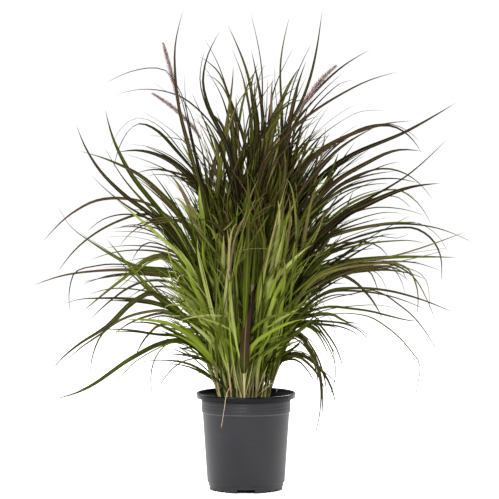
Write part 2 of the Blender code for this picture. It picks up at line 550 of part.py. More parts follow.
class Shoot:
    """A stem, square in section and straight, with the blades that grow from its sides."""

    def __init__(self, foot, top):
        self.foot = foot
        self.top = top
        self.blades = []
        self.tones = []
        ends = (SOIL_TOP + GAP, top)
        rings = [[self.corner(k, height) for k in range(4)] for height in ends]
        self.stem = Piece(*loft(rings))

    def corner(self, k, height):
        share = (height - SOIL_TOP) / (self.top - SOIL_TOP)
        half = STEM_HALF + (STEM_TOP_HALF - STEM_HALF) * share
        angle = math.radians(45 + 90 * k)
        reach = half * math.sqrt(2.0)
        return stem_point(self.foot, height) + reach * np.array((math.cos(angle),
                                                                 math.sin(angle), 0.0))

    def root(self, side, height):
        """The triangle on a side of the stem that a blade grows from."""
        return [self.corner(side, height - ROOT_HALF),
                self.corner((side + 1) % 4, height - ROOT_HALF),
                self.corner((side + 1) % 4, height + ROOT_HALF)]

    def has_room(self, height):
        if height + ROOT_HALF > self.top - 0.001 or height - ROOT_HALF < SOIL_TOP + 0.0015:
            return False
        return all(abs(height - blade.height) >= ROOT_SPACING for blade in self.blades)

    def is_outside(self, ring, side, height):
        """Whether all of a ring lies in front of the stem's side."""
        root = self.root(side, height)
        normal = np.cross(root[2] - root[0], root[1] - root[0])
        outward = np.array((math.cos(math.radians(90 + 90 * side)),
                            math.sin(math.radians(90 + 90 * side)), 0.0))
        normal = normal / np.linalg.norm(normal)
        normal = normal if normal @ outward > 0 else -normal
        return all((point - root[0]) @ normal > 0.0004 for point in ring)

    def skin(self):
        """The stem's sides, opened where a blade grows out, with every blade's own skin."""
        points = []
        places = {}

        def place(point):
            key = tuple(round(c, 7) for c in point)
            if key not in places:
                places[key] = len(points)
                points.append(point)
            return places[key]

        ends = (SOIL_TOP + GAP, self.top)
        heights = [set(ends) for _ in range(4)]
        for blade in self.blades:
            heights[blade.side] |= {blade.height - ROOT_HALF, blade.height + ROOT_HALF}
            heights[(blade.side + 1) % 4] |= {blade.height - ROOT_HALF, blade.height + ROOT_HALF}
        faces = []
        for side in range(4):
            following = (side + 1) % 4
            roots = {blade.height - ROOT_HALF: blade for blade in self.blades
                     if blade.side == side}
            breaks = sorted(set(ends) | set(roots)
                            | {low + 2 * ROOT_HALF for low in roots})
            for low, high in zip(breaks, breaks[1:]):
                up = [h for h in sorted(heights[side]) if low - 1e-7 <= h <= high + 1e-7]
                down = [h for h in sorted(heights[following], reverse=True)
                        if low - 1e-7 <= h <= high + 1e-7]
                if low in roots:
                    faces.append([place(self.corner(side, low)),
                                  place(self.corner(following, high)),
                                  place(self.corner(side, high))])
                    continue
                faces.append([place(self.corner(following, h)) for h in down[::-1]]
                             + [place(self.corner(side, h)) for h in up[::-1]])
        faces.append([place(self.corner(k, ends[0])) for k in (3, 2, 1, 0)])
        faces.append([place(self.corner(k, ends[1])) for k in range(4)])
        for blade in self.blades:
            skin_points, skin_faces = blade.skin(self.root(blade.side, blade.height))
            spots = [place(point) for point in skin_points]
            faces += [[spots[i] for i in face] for face in skin_faces[1:]]
        return points, faces


class Clump:
    """Everything placed so far, to keep the shoots clear of each other."""

    def __init__(self, feet):
        self.feet = feet
        self.shoots = []
        self.placed = []

    def add_obstacle(self, points, faces):
        self.placed.append(Piece(points, faces))

    def add_shoot(self, foot, top):
        shoot = Shoot(foot, top)
        self.shoots.append(shoot)
        self.placed.append(shoot.stem)

    def try_blade(self, shoot, path, width, roll, across, height, tone):
        """Grow a blade from a shoot if it stays clear of all the others."""
        if not shoot.has_room(height):
            return False
        away = path[len(path) // 8] - path[0]
        side = 3 if away[0] > 0 else 1
        if abs(away[1]) > abs(away[0]):
            side = 0 if away[1] > 0 else 2
        blade = Blade(path, width, roll, across, side, height)
        while blade.chosen and not shoot.is_outside(blade.ring(blade.chosen[0], CLEARANCE), side,
                                                    height):
            blade.chosen.pop(0)
        if len(blade.chosen) < 2 or blade.chosen[0] > len(path) // 2:
            return False
        root = shoot.root(side, height)
        trial = Piece(*blade.skin(root, CLEARANCE))
        beyond = Piece(*blade.skin(None, CLEARANCE))
        for other in self.placed:
            if (beyond if other is shoot.stem else trial).meets(other):
                return False
        grown = Piece(*blade.skin(root))
        if grown.meets_itself() or grown.is_inside_out():
            return False
        self.placed.append(grown)
        shoot.blades.append(blade)
        shoot.tones.append(tone)
        return True


def seen_path(foot, attach, points, depth_slope, count):
    """Path in space of a blade seen from the front, from its stem out to its tip."""
    start = stem_point(foot, attach)
    start_seen = np.array(to_front(start))
    seen = [start_seen] + [np.array((x, z)) * 0.001 for x, z in points]
    above = np.array(to_front(stem_point(foot, attach + 0.01)))
    up_stem = (above - start_seen) / np.linalg.norm(above - start_seen)
    towards = (seen[1] - start_seen) / np.linalg.norm(seen[1] - start_seen)
    slope = up_stem + 0.8 * towards
    flat = curve_through(seen, slope / np.linalg.norm(slope), count)
    run = np.concatenate(([0.0], np.cumsum(np.linalg.norm(np.diff(flat, axis=0), axis=1))))
    stem_slope = foot[1] / (SOIL_TOP + APEX_DEPTH)
    depth = start[1] + stem_slope * run + (depth_slope - stem_slope) * run ** 2 / (2 * run[-1])
    return np.array([from_front(x, z, y) for (x, z), y in zip(flat, depth)])


def place_seen_blades(clump, seen_blades, seed, is_front):
    """Put every blade read from the front on the stem that suits it, clear of the others."""
    left_out = []
    slopes = FRONT_SLOPES if is_front else SLOPES
    for number, (seen_width, tone, points) in enumerate(seen_blades):
        rng = random.Random(seed * 1000 + number)
        width = max(seen_width * 0.00105, rng.uniform(*REAL_WIDTHS))
        roll = math.asin(min(seen_width * 0.001 / width, 1.0)) * (1 if rng.random() < 0.65 else -1)
        x, z = points[0][0] * 0.001, points[0][1] * 0.001
        need = x * (SOIL_TOP + APEX_DEPTH) / (z + APEX_DEPTH)
        need = min(max(need, -CLUMP_RADIUS - 0.002), CLUMP_RADIUS - 0.004)
        frontness = 0.25 if is_front else 0.0
        order = sorted(clump.shoots, key=lambda s: abs(s.foot[0] - need) + frontness * s.foot[1]
                       + 0.006 * len(s.blades) + rng.uniform(0.0, 0.004))
        order = [s for s in order if len(s.blades) < MAX_BLADES
                 and not (is_front and s.foot[1] > FRONT_ROW)][:STEMS_TRIED]
        across = np.array((0.0, 1.0, 0.0)) * (1.0 if x < 0 else -1.0)
        trials = []
        for shoot in order:
            tried = 0
            highest = min(shoot.top - 0.006, z - 0.05) if z > 0.29 else min(0.215, z - 0.015)
            side = 1.0 if shoot.foot[1] > 0 else -1.0
            for drop in DROPS:
                if shoot.has_room(highest - drop) and tried < HEIGHTS_TRIED:
                    tried += 1
                    trials += [(shoot, highest - drop, slope * side) for slope in slopes]
        for shoot, attach, slope in trials:
            path = seen_path(shoot.foot, attach, points, slope, 61)
            if clump.try_blade(shoot, path, width, roll, across, attach, tone):
                break
        else:
            left_out.append(number)
    return left_out


def filler_path(foot, attach, heading, lean, droop, bend, length, count):
    """Path of a blade that rises from its stem and arches over by a rule."""
    heading = math.radians(heading)
    level = np.array((math.cos(heading), math.sin(heading), 0.0))
    point = stem_point(foot, attach)
    step = length / (count - 1)
    path = [point]
    for i in range(1, count):
        angle = math.radians(lean + (droop - lean) * (i / (count - 1)) ** bend)
        point = point + step * (level * math.sin(angle) + np.array((0, 0, 1)) * math.cos(angle))
        path.append(point)
    return np.array(path)


def is_in_crown(path):
    """Whether a filler keeps inside the dense middle of the clump as seen from the front."""
    for point in path:
        x, z = to_front(point)
        limit = CROWN_HALF + CROWN_SPREAD * max(min(z, CROWN_WIDEST) - CROWN_BOTTOM, 0.0)
        limit -= CROWN_TAPER * max(z - CROWN_NARROWS, 0.0)
        if abs(x - CROWN_CENTRE_X) > limit or z > CROWN_TOP or point[2] < LOWEST_FILLER:
            return False
    return True


def place_fillers(clump, count):
    """Fill the crown with more blades all round, so that every side is as full as the front."""
    placed = 0
    number = 0
    while placed < count and number < 40 * count:
        rng = random.Random(SEED * 7000 + number)
        number += 1
        shoot = min(clump.shoots, key=lambda s: len(s.blades) + rng.uniform(0, 1.6))
        if len(shoot.blades) >= MAX_BLADES:
            continue
        foot = shoot.foot
        heading = math.degrees(math.atan2(foot[1], foot[0])) + rng.uniform(-50, 50)
        lean = math.degrees(math.atan(math.hypot(*foot) / (SOIL_TOP + APEX_DEPTH)))
        attach = rng.uniform(0.25, shoot.top - 0.01)
        length = rng.uniform(*FILLER_LENGTHS)
        droop = rng.uniform(*FILLER_DROOPS)
        path = filler_path(foot, attach, heading, lean, droop, rng.uniform(1.4, 2.4), length, 41)
        width = rng.uniform(*FILLER_WIDTHS)
        turned_by = math.radians(heading)
        across = np.array((-math.sin(turned_by), math.cos(turned_by), 0.0))
        roll = math.radians(rng.uniform(-40, 40))
        tone = rng.uniform(0.0, 0.5)
        if is_in_crown(path):
            placed += clump.try_blade(shoot, path, width, roll, across, attach, tone)
    return placed


def link(obj, collection):
    collection.objects.link(obj)
    return obj


def plain_material(name, colour, roughness):
    material = bpy.data.materials.new(name)
    material.use_nodes = True
    shader = material.node_tree.nodes["Principled BSDF"]
    shader.inputs["Base Color"].default_value = (*colour, 1.0)
    shader.inputs["Roughness"].default_value = roughness
    shader.inputs["Metallic"].default_value = 0.0
    return material


def object_from_skin(name, points, faces, material, collection):
    mesh = bpy.data.meshes.new(name)
    mesh.from_pydata([tuple(p) for p in points], [], faces)
    mesh.materials.append(material)
    build = bmesh.new()
    build.from_mesh(mesh)
    bmesh.ops.recalc_face_normals(build, faces=build.faces)
    bmesh.ops.triangulate(build, faces=build.faces)
    build.to_mesh(mesh)
    build.free()
    return link(bpy.data.objects.new(name, mesh), collection)


def turned(name, profile, steps, material, collection):
    """A profile of (radius, height) turned about the upright axis."""
    mesh = bpy.data.meshes.new(name)
    mesh.from_pydata([(r, 0.0, z) for r, z in profile], [(i, i + 1) for i in range(len(profile) - 1)],
                     [])
    mesh.materials.append(material)
    obj = link(bpy.data.objects.new(name, mesh), collection)
    screw = obj.modifiers.new("Turn", "SCREW")
    screw.axis = "Z"
    screw.steps = steps
    screw.render_steps = steps
    screw.use_merge_vertices = True
    screw.merge_threshold = 0.00005
    screw.use_smooth_shade = True
    return obj


def pot_profile():
    inner = WALL
    return (
        (0.0, FLOOR),
        (FOOT_RADIUS - inner, FLOOR),
        (FOOT_RADIUS - inner, FOOT_HEIGHT),
        (BODY_BOTTOM_RADIUS - inner, FOOT_HEIGHT + 0.003),
        (BODY_TOP_RADIUS - inner, COLLAR_BOTTOM - 0.002),
        (COLLAR_RADIUS - inner, LIP_BOTTOM - 0.0035),
        (MOUTH_RADIUS - 0.0006, LIP_BOTTOM + 0.0035),
        (MOUTH_RADIUS + 0.0008, POT_HEIGHT),
        (LIP_RADIUS - 0.0010, POT_HEIGHT),
        (LIP_RADIUS, LIP_BOTTOM),
        (COLLAR_RADIUS + 0.0002, LIP_BOTTOM - 0.0016),
        (COLLAR_RADIUS - 0.0004, COLLAR_BOTTOM),
        (BODY_TOP_RADIUS, COLLAR_BOTTOM - 0.0022),
        (BODY_BOTTOM_RADIUS, FOOT_HEIGHT + 0.003),
        (FOOT_RADIUS, FOOT_HEIGHT - 0.0005),
        (FOOT_RADIUS, 0.0),
        (0.0, 0.0),
    )


def rim_skin():
    """The pot's rim, for the blades to keep clear of."""
    rings = []
    for i in range(POT_STEPS + 1):
        angle = 2 * math.pi * i / POT_STEPS
        rings.append([np.array((r * math.cos(angle), r * math.sin(angle), z))
                      for r, z in pot_profile()[RIM]])
    return loft(rings)


def soil_profile():
    inner = WALL + 1.5 * GAP
    return (
        (0.0, SOIL_TOP),
        (SOIL_RADIUS - 0.0014, SOIL_TOP),
        (SOIL_RADIUS, SOIL_TOP - 0.0020),
        (BODY_TOP_RADIUS - inner, COLLAR_BOTTOM - 0.0020),
        (BODY_BOTTOM_RADIUS - inner, FOOT_HEIGHT + 0.0035),
        (FOOT_RADIUS - inner, FOOT_HEIGHT + 0.0005),
        (FOOT_RADIUS - inner, FLOOR + GAP),
        (0.0, FLOOR + GAP),
    )


def cut_notches(pot, cutters):
    """Drain notches through the foot of the wall and the edge of the floor."""
    notches = [(angle, *BIG_NOTCH) for angle in BIG_NOTCH_ANGLES]
    notches += [(quarter + angle, *SMALL_NOTCH)
                for quarter in BIG_NOTCH_ANGLES for angle in SMALL_NOTCH_ANGLES]
    for number, (angle, width, height) in enumerate(notches):
        bpy.ops.mesh.primitive_cube_add(size=1.0)
        cutter = bpy.context.object
        cutter.name = f"notch_cutter_{number + 1:02d}"
        for owner in list(cutter.users_collection):
            owner.objects.unlink(cutter)
        cutters.objects.link(cutter)
        turn = math.radians(angle)
        for vertex in cutter.data.vertices:
            vertex.co.x *= NOTCH_DEPTH
            vertex.co.y *= width
            vertex.co.z = (vertex.co.z + 0.5) * (height + NOTCH_BELOW) - NOTCH_BELOW
        cutter.location = (FOOT_RADIUS * math.cos(turn), FOOT_RADIUS * math.sin(turn), 0.0)
        cutter.rotation_euler = (0.0, 0.0, turn)
        cutter.hide_render = True
        cutter.display_type = "WIRE"
        cut = pot.modifiers.new(f"Notch {number + 1}", "BOOLEAN")
        cut.operation = "DIFFERENCE"
        cut.object = cutter


def spike_paths(foot, points, head_start):
    """The stalk and the flower head of a spike, as two paths with a small gap between."""
    path = seen_path(foot, SOIL_TOP + GAP, points, foot[1] / (SOIL_TOP + APEX_DEPTH) * 0.9, 121)
    split = int(head_start * (len(path) - 1))
    stalk = path[: split + 1].copy()
    head = path[split:].copy()
    ahead = stalk[-1] - stalk[-2]
    stalk[-1] = stalk[-1] - ahead / np.linalg.norm(ahead) * GAP
    return stalk, head


def head_width(share):
    return 0.30 + 0.70 * math.sin(math.pi * min(share / 1.08 + 0.06, 1.0)) ** 0.6


def main():
    for obj in list(bpy.data.objects):
        bpy.data.objects.remove(obj, do_unlink=True)
    parts = bpy.data.collections.new("potted_fountain_grass")
    cutters = bpy.data.collections.new("cutters")
    bpy.context.scene.collection.children.link(parts)
    bpy.context.scene.collection.children.link(cutters)

    pot = turned("pot", pot_profile(), POT_STEPS,
                 plain_material("pot plastic", (0.060, 0.059, 0.068), 0.42), parts)
    cut_notches(pot, cutters)
    turned("soil", soil_profile(), POT_STEPS,
           plain_material("potting mix", (0.030, 0.020, 0.014), 0.95), parts)

    clump = Clump(stem_feet())
    clump.add_obstacle(*rim_skin())

    # the flower stalks take the stem places that suit them
    stalk_material = plain_material("flower stalk", (0.250, 0.140, 0.100), 0.55)
    head_material = plain_material("flower spike", (0.330, 0.190, 0.200), 0.80)
    for number, (points, head_start, width) in enumerate(SEEN_SPIKES):
        x, z = points[0][0] * 0.001, points[0][1] * 0.001
        need = x * (SOIL_TOP + APEX_DEPTH) / (z + APEX_DEPTH)
        foot = min(clump.feet, key=lambda f: abs(f[0] - need) + abs(f[1] + 0.010))
        clump.feet.remove(foot)
        stalk, head = spike_paths(foot, points, head_start)
        few = few_points(stalk, 0.0015)
        stalk_skin = tube([stalk[i] for i in few],
                          [STALK_RADIUS * (1.15 - 0.45 * i / len(stalk)) for i in few], 5)
        count = 9
        spots = [round(i * (len(head) - 1) / (count - 1)) for i in range(count)]
        radii = [0.0005 * width * head_width(i / (count - 1)) for i in range(count)]
        head_skin = tube([head[i] for i in spots], radii, 7)
        object_from_skin(f"flower_stalk_{number + 1}", *stalk_skin, stalk_material, parts)
        object_from_skin(f"flower_spike_{number + 1}", *head_skin, head_material, parts)
        clump.add_obstacle(*stalk_skin)
        clump.add_obstacle(*head_skin)

    for number, foot in enumerate(clump.feet):
        rng = random.Random(SEED * 300 + number)
        far = math.hypot(foot[0] - CLUMP_CENTRE_X, foot[1]) / CLUMP_RADIUS
        top = STEM_TOP - STEM_TOP_DROP * far + rng.uniform(-STEM_TOP_SPREAD, STEM_TOP_SPREAD)
        clump.add_shoot(foot, top)

    left_out = place_seen_blades(clump, SEEN_BLADES, SEED, False)
    front_left_out = place_seen_blades(clump, FRONT_BLADES, SEED + 1, True)
    placed = place_fillers(clump, FILLER_COUNT)
    print("blades left out:", left_out, front_left_out, "fillers:", placed,
          "stems:", len(clump.shoots))

    for number, shoot in enumerate(clump.shoots):
        tone = sum(shoot.tones) / max(len(shoot.tones), 1)
        colour = (0.10 + 0.04 * tone, 0.16 - 0.09 * tone, 0.035 + 0.01 * tone)
        material = plain_material(f"grass {number + 1:02d}", colour, 0.5)
        object_from_skin(f"shoot_{number + 1:02d}", *shoot.skin(), material, parts)


main()
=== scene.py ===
"""Looks of the potted fountain grass clump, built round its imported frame."""
import math
import random

import bmesh
import bpy
import numpy as np
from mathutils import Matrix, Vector
from mathutils import noise


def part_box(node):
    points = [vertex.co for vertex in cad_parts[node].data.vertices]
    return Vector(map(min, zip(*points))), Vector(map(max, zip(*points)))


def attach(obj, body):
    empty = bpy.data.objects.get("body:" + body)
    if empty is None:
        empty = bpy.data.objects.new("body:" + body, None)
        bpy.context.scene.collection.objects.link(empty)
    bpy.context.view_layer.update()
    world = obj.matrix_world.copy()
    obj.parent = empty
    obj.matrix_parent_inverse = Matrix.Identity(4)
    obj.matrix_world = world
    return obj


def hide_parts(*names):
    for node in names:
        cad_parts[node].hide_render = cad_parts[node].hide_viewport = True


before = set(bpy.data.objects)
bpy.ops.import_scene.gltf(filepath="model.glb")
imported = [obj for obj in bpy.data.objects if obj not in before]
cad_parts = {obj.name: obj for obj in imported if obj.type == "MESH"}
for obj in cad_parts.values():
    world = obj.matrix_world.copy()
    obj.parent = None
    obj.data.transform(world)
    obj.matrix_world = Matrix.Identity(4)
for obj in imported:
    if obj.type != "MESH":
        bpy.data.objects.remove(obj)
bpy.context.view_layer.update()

# Camera of the reference photo
CAMERA_PLACE = (0.008, -5.2, 0.80)
CAMERA_AIM = (0.008, 0.0, 0.5502)
CAMERA_LENS = 163.98

# Real sizes in metres
SOIL_TOP = 0.198
APEX_DEPTH = 0.058
CLUMP_CENTRE_X = -0.003
STEM_WIDTH = 0.0044
BLADE_THICKNESS = 0.00028
BLADE_STEP = 0.016
FOLD = 0.42
SEED = 5
EXTRA_PER_SHOOT = 26
TRACED_WIDER = 1.48
UPPER_WIDER = 0.50
TIP_HALF = 0.0006
SHEATH_TOP = 0.250
SHEATH_FADE = 0.075
# How much painted shade darkens the blades low in the clump, standing in for the shadow inside its
# base
BASE_PAINTED_SHADE = 0.75

POT_HEIGHT = 0.222
POT_STEPS = 144
LIP_RADIUS = 0.1143
LIP_BOTTOM = 0.2100
MOUTH_RADIUS = 0.1088
COLLAR_RADIUS = 0.1022
COLLAR_BOTTOM = 0.1785
BODY_TOP_RADIUS = 0.0999
BODY_BOTTOM_RADIUS = 0.0891
FOOT_HEIGHT = 0.0155
FOOT_RADIUS = 0.0858
WALL = 0.0018
FLOOR = 0.0025
BIG_NOTCH = (0.040, 0.0085)
SMALL_NOTCH = (0.008, 0.0040)
QUARTERS = (0, 90, 180, 270)
SMALL_NOTCH_ANGLES = (37, 53)

# How far the dense crown reaches to the left and to the right at a height, seen from the front
CROWN = ((0.22, 0.070, 0.066), (0.26, 0.085, 0.075), (0.30, 0.135, 0.105), (0.35, 0.190, 0.150),
         (0.40, 0.210, 0.185), (0.50, 0.215, 0.215), (0.62, 0.212, 0.250), (0.72, 0.185, 0.255),
         (0.78, 0.165, 0.235), (0.85, 0.150, 0.200), (0.92, 0.140, 0.175), (1.00, 0.120, 0.140))
CROWN_DEPTH = 0.24
CROWN_TOP = 0.99
TOP_THINNING = 0.90

# How far the longest blades reach to the front and back at a height
LONG_REACH = ((0.22, 0.12), (0.30, 0.26), (0.38, 0.34), (0.50, 0.375), (0.72, 0.375),
              (0.85, 0.31), (0.93, 0.24), (1.00, 0.15))
LONG_SHARE = 0.24

# The wide dark sheath in the middle of the clump: its line as seen from the front, and its depth
SHEATH_LINE = ((-0.005, 0.255), (-0.003, 0.320), (0.002, 0.400), (0.008, 0.460), (0.020, 0.570))
SHEATH_DEPTH = -0.102
SHEATH_WIDTH = 0.024
SHEATH_CLEAR = 0.017
PATCH_LINE = ((0.004, 0.445), (0.009, 0.466), (0.015, 0.488), (0.020, 0.506))
PATCH_WIDTH = 0.020

# Thin blades that have no solid, as seen from the front: widest millimetres seen, how purple
# (0 to 1), how dead (0 to 1), points (x, z) in millimetres from the clump out to the tip
THIN_BLADES = (
    (3.5, 0.35, 0.0, ((-110, 310), (-140, 330), (-170, 336), (-200, 324), (-235, 305), (-262, 286),
                      (-280, 266), (-310, 243), (-362, 201))),
    (3.5, 0.60, 0.0, ((-105, 300), (-135, 327), (-160, 337), (-185, 330), (-203, 310), (-215, 282),
                      (-219, 250), (-216, 220), (-208, 192), (-195, 165), (-178, 144))),
    (3.0, 0.50, 0.0, ((260, 520), (320, 533), (365, 540), (405, 546), (465, 554))),
    (4.0, 0.75, 0.0, ((120, 395), (160, 422), (205, 440), (250, 449), (285, 457), (320, 445),
                      (350, 424), (380, 400), (410, 364), (435, 324), (455, 288), (477, 260))),
    (3.0, 0.60, 0.0, ((260, 500), (330, 508), (380, 505), (405, 490), (416, 472), (420, 442),
                      (420, 410))),
    (10.0, 0.55, 0.0, ((110, 380), (150, 408), (190, 418), (240, 414), (285, 408), (330, 397),
                       (375, 387), (410, 385))),
    (3.0, 0.50, 0.0, ((150, 400), (200, 415), (255, 421), (295, 423), (335, 417), (365, 404))),
    (3.5, 0.50, 0.0, ((150, 385), (200, 402), (250, 402), (285, 395), (320, 374), (355, 345),
                      (380, 315), (398, 290), (399, 265), (394, 238), (387, 205), (372, 175),
                      (352, 157), (322, 148))),
    (2.5, 0.50, 0.0, ((200, 385), (240, 378), (275, 358), (295, 335), (320, 300))),
    (3.0, 0.35, 0.0, ((75, 300), (110, 318), (140, 310), (168, 280), (195, 255), (225, 230),
                      (276, 204))),
    (3.0, 0.40, 1.0, ((-95, 470), (-120, 490), (-150, 492), (-160, 475), (-161, 445),
                      (-165, 420))),
    (2.5, 0.40, 1.0, ((52, 236), (58, 243), (64, 242), (69, 236), (71, 229), (70, 220))),
    (3.0, 0.90, 0.6, ((62, 450), (66, 480), (71, 508), (74, 540))),
    (2.5, 0.90, 0.6, ((80, 470), (76, 500), (70, 530))),
    (2.2, 0.10, 1.0, ((-58, 300), (-63, 330), (-66, 370), (-63, 405), (-58, 425), (-50, 436))),
    (2.0, 0.10, 1.0, ((74, 350), (79, 389), (79, 420), (75, 446), (66, 468))),
)

# The dried strip that hangs over the front of the pot's lip
STRIP_LINE = ((-0.026, -0.045, 0.222), (-0.030, -0.066, 0.237), (-0.038, -0.092, 0.240),
              (-0.044, -0.1085, 0.227), (-0.049, -0.1065, 0.195), (-0.056, -0.097, 0.152))
STRIP_WIDTH = 0.0022

# Studio
ROOM_LIGHT = 0.46
GLOSS_LIGHT = 0.70
FLOOR_GLOW = 0.60
KEY_POWER = 200.0
FRONT_POWER = 75.0
FILL_POWER = 36.0
BACK_POWER = 165.0
BACK_LEFT_POWER = 60.0


def smooth_step(value):
    value = min(max(value, 0.0), 1.0)
    return value * value * (3.0 - 2.0 * value)


def to_front(point):
    """Where a point is seen from the front, as (x, z) in the middle plane."""
    grow = (point[1] - CAMERA_PLACE[1]) / -CAMERA_PLACE[1]
    return (CAMERA_PLACE[0] + (point[0] - CAMERA_PLACE[0]) / grow,
            CAMERA_PLACE[2] + (point[2] - CAMERA_PLACE[2]) / grow)


def from_front(x, z, depth):
    """The point at a depth that is seen from the front at (x, z) in the middle plane."""
    grow = (depth - CAMERA_PLACE[1]) / -CAMERA_PLACE[1]
    return np.array((CAMERA_PLACE[0] + (x - CAMERA_PLACE[0]) * grow, depth,
                     CAMERA_PLACE[2] + (z - CAMERA_PLACE[2]) * grow))


def solid_width(share):
    """Width along a packed blade, as a share of its widest."""
    return (0.25 + 0.75 * smooth_step(share / 0.30)) * (1.0 - share ** 3.0) ** 0.80


def blade_width(share):
    """Width along a blade, as a share of its widest: narrow foot, long taper to the tip."""
    return (0.25 + 0.75 * smooth_step(share / 0.28)) * (1.0 - share ** 2.6) ** 0.9


def sheath_share(height):
    """How much of a stem's or blade's colour is that of the pale sheaths low in the clump."""
    return 1.0 - smooth_step((height - SHEATH_TOP) / SHEATH_FADE)


def unit(vector):
    return vector / np.linalg.norm(vector)


def spline(points, start_slope):
    """Dense points along a smooth curve through the given ones."""
    points = np.array(points, dtype=float)
    chords = np.linalg.norm(np.diff(points, axis=0), axis=1)
    slopes = np.zeros_like(points)
    for i in range(1, len(points) - 1):
        before = (points[i] - points[i - 1]) / chords[i - 1]
        after = (points[i + 1] - points[i]) / chords[i]
        share = chords[i - 1] / (chords[i - 1] + chords[i])
        slopes[i] = before * (1.0 - share) + after * share
    slopes[0] = start_slope
    slopes[-1] = 1.5 * (points[-1] - points[-2]) / chords[-1] - 0.5 * slopes[-2]
    dense = []
    for i, chord in enumerate(chords):
        for t in np.linspace(0.0, 1.0, 13)[: 13 if i == len(chords) - 1 else 12]:
            t2, t3 = t * t, t * t * t
            dense.append((2 * t3 - 3 * t2 + 1) * points[i] + (3 * t2 - 2 * t3) * points[i + 1]
                         + chord * ((t3 - 2 * t2 + t) * slopes[i] + (t3 - t2) * slopes[i + 1]))
    return np.array(dense)


def evenly(path, count):
    run = np.concatenate(([0.0], np.cumsum(np.linalg.norm(np.diff(path, axis=0), axis=1))))
    even = np.linspace(0.0, run[-1], count)
    return np.column_stack([np.interp(even, run, path[:, k]) for k in range(3)]), run[-1]


class Skin:
    """A mesh under way, with what its material reads at each point."""

    def __init__(self, slots):
        self.points = []
        self.faces = []
        self.spots = []
        self.marks = {"along": [], "across": [], "purple": [], "shade": [], "pale": [],
                      "dead": []}
        self.slots = slots
        self.slot = 0

    def add_row(self, points, **marks):
        first = len(self.points)
        self.points += [tuple(p) for p in points]
        for name, store in self.marks.items():
            value = marks.get(name, 0.0)
            store += list(value) if isinstance(value, (list, tuple)) else [value] * len(points)
        return first

    def add_face(self, corners, spots):
        """A face, with its place in the piece's flat map."""
        self.faces.append(corners)
        self.spots += [((self.slot + u) / self.slots, v) for u, v in spots]

    def to_object(self, name, material, sharp=50.0):
        mesh = bpy.data.meshes.new(name)
        mesh.from_pydata(self.points, [], self.faces)
        layer = mesh.uv_layers.new(name="OFBake")
        layer.uv.foreach_set("vector", [c for spot in self.spots for c in spot])
        for mark, values in self.marks.items():
            store = mesh.attributes.new(mark, "FLOAT", "POINT")
            store.data.foreach_set("value", values)
        mesh.materials.append(material)
        for face in mesh.polygons:
            face.use_smooth = True
        mesh.set_sharp_from_angle(angle=math.radians(sharp))
        obj = bpy.data.objects.new(name, mesh)
        bpy.context.scene.collection.objects.link(obj)
        return obj


# Where a blade's section has its points: across the upper side, then back along the underside
FULL_SECTION = ((-1.0, 0), (-0.5, 0), (0.0, 0), (0.5, 0), (1.0, 0), (0.5, 1), (0.0, 1), (-0.5, 1))
PLAIN_SECTION = ((-1.0, 0), (0.0, 0), (1.0, 0), (0.0, 1))


def add_blade(skin, blade, section, purple, shade, pale, rng, dead=0.0):
    """A folded blade with a real thickness, along its path, its upper side facing its ups."""
    path, ups, width = blade["path"], blade["ups"], blade["width"]
    count = len(path)
    sides = len(section)
    ahead = np.gradient(path, axis=0)
    twist = rng.uniform(-0.35, 0.35)
    wave = rng.uniform(0.6, 2.2)
    phase = rng.uniform(0.0, 6.0)
    rows = []
    for i in range(count - 1):
        share = i / (count - 1)
        forward = unit(ahead[i])
        up = unit(ups[i] - forward * (ups[i] @ forward))
        edge = np.cross(forward, up)
        turn = twist * math.sin(wave * 2 * math.pi * share + phase) * smooth_step(3 * share)
        edge, up = (math.cos(turn) * edge + math.sin(turn) * up,
                    math.cos(turn) * up - math.sin(turn) * edge)
        half = max(0.5 * width * blade_width(share), TIP_HALF)
        fold = FOLD * (1.0 - 0.5 * share)
        thick = min(BLADE_THICKNESS, 0.5 * half)
        lean = math.cos(math.atan(fold))
        ring = [path[i] + edge * (a * half * lean)
                + up * (fold * half * (abs(a) ** 1.4 - 0.35) - thick * under)
                for a, under in section]
        tone = min(max(purple * (0.18 + 1.07 * smooth_step((share - 0.12) / 0.6)), 0.0), 1.0)
        low_down = sheath_share(path[i][2])
        sheath = pale * low_down * (1.0 - smooth_step(3.0 * share))
        # Painted shade: low in the clump, blades are darkened to stand in for the shadow inside the
        # clump, less where they are pale or dead
        painted_base_shade = 1.0 - BASE_PAINTED_SHADE * low_down * (1.0 - min(pale, 1.0)) * (1.0 - dead)
        rows.append(skin.add_row(ring, along=share, across=[a for a, _ in section], purple=tone,
                                 shade=shade * painted_base_shade, pale=sheath, dead=dead))
    tip = skin.add_row([path[-1]], along=1.0, across=0.0, purple=min(purple * 1.3, 1.0),
                       shade=shade, dead=dead)
    flat = [0.02 + 0.96 * k / sides for k in range(sides + 1)]
    for i in range(len(rows)):
        low, high = 0.01 + 0.98 * i / (count - 1), 0.01 + 0.98 * (i + 1) / (count - 1)
        for k in range(sides):
            a, b = rows[i] + k, rows[i] + (k + 1) % sides
            left, right = flat[k], flat[k + 1]
            if i < len(rows) - 1:
                c, d = rows[i + 1] + (k + 1) % sides, rows[i + 1] + k
                skin.add_face((a, b, c, d), ((left, low), (right, low), (right, high),
                                             (left, high)))
            else:
                skin.add_face((a, b, tip), ((left, low), (right, low),
                                            ((left + right) / 2, high)))
    skin.add_face([rows[0] + k for k in range(sides - 1, -1, -1)],
                  [(0.99, 0.001 + 0.001 * k) for k in range(sides)])
    skin.slot += 1


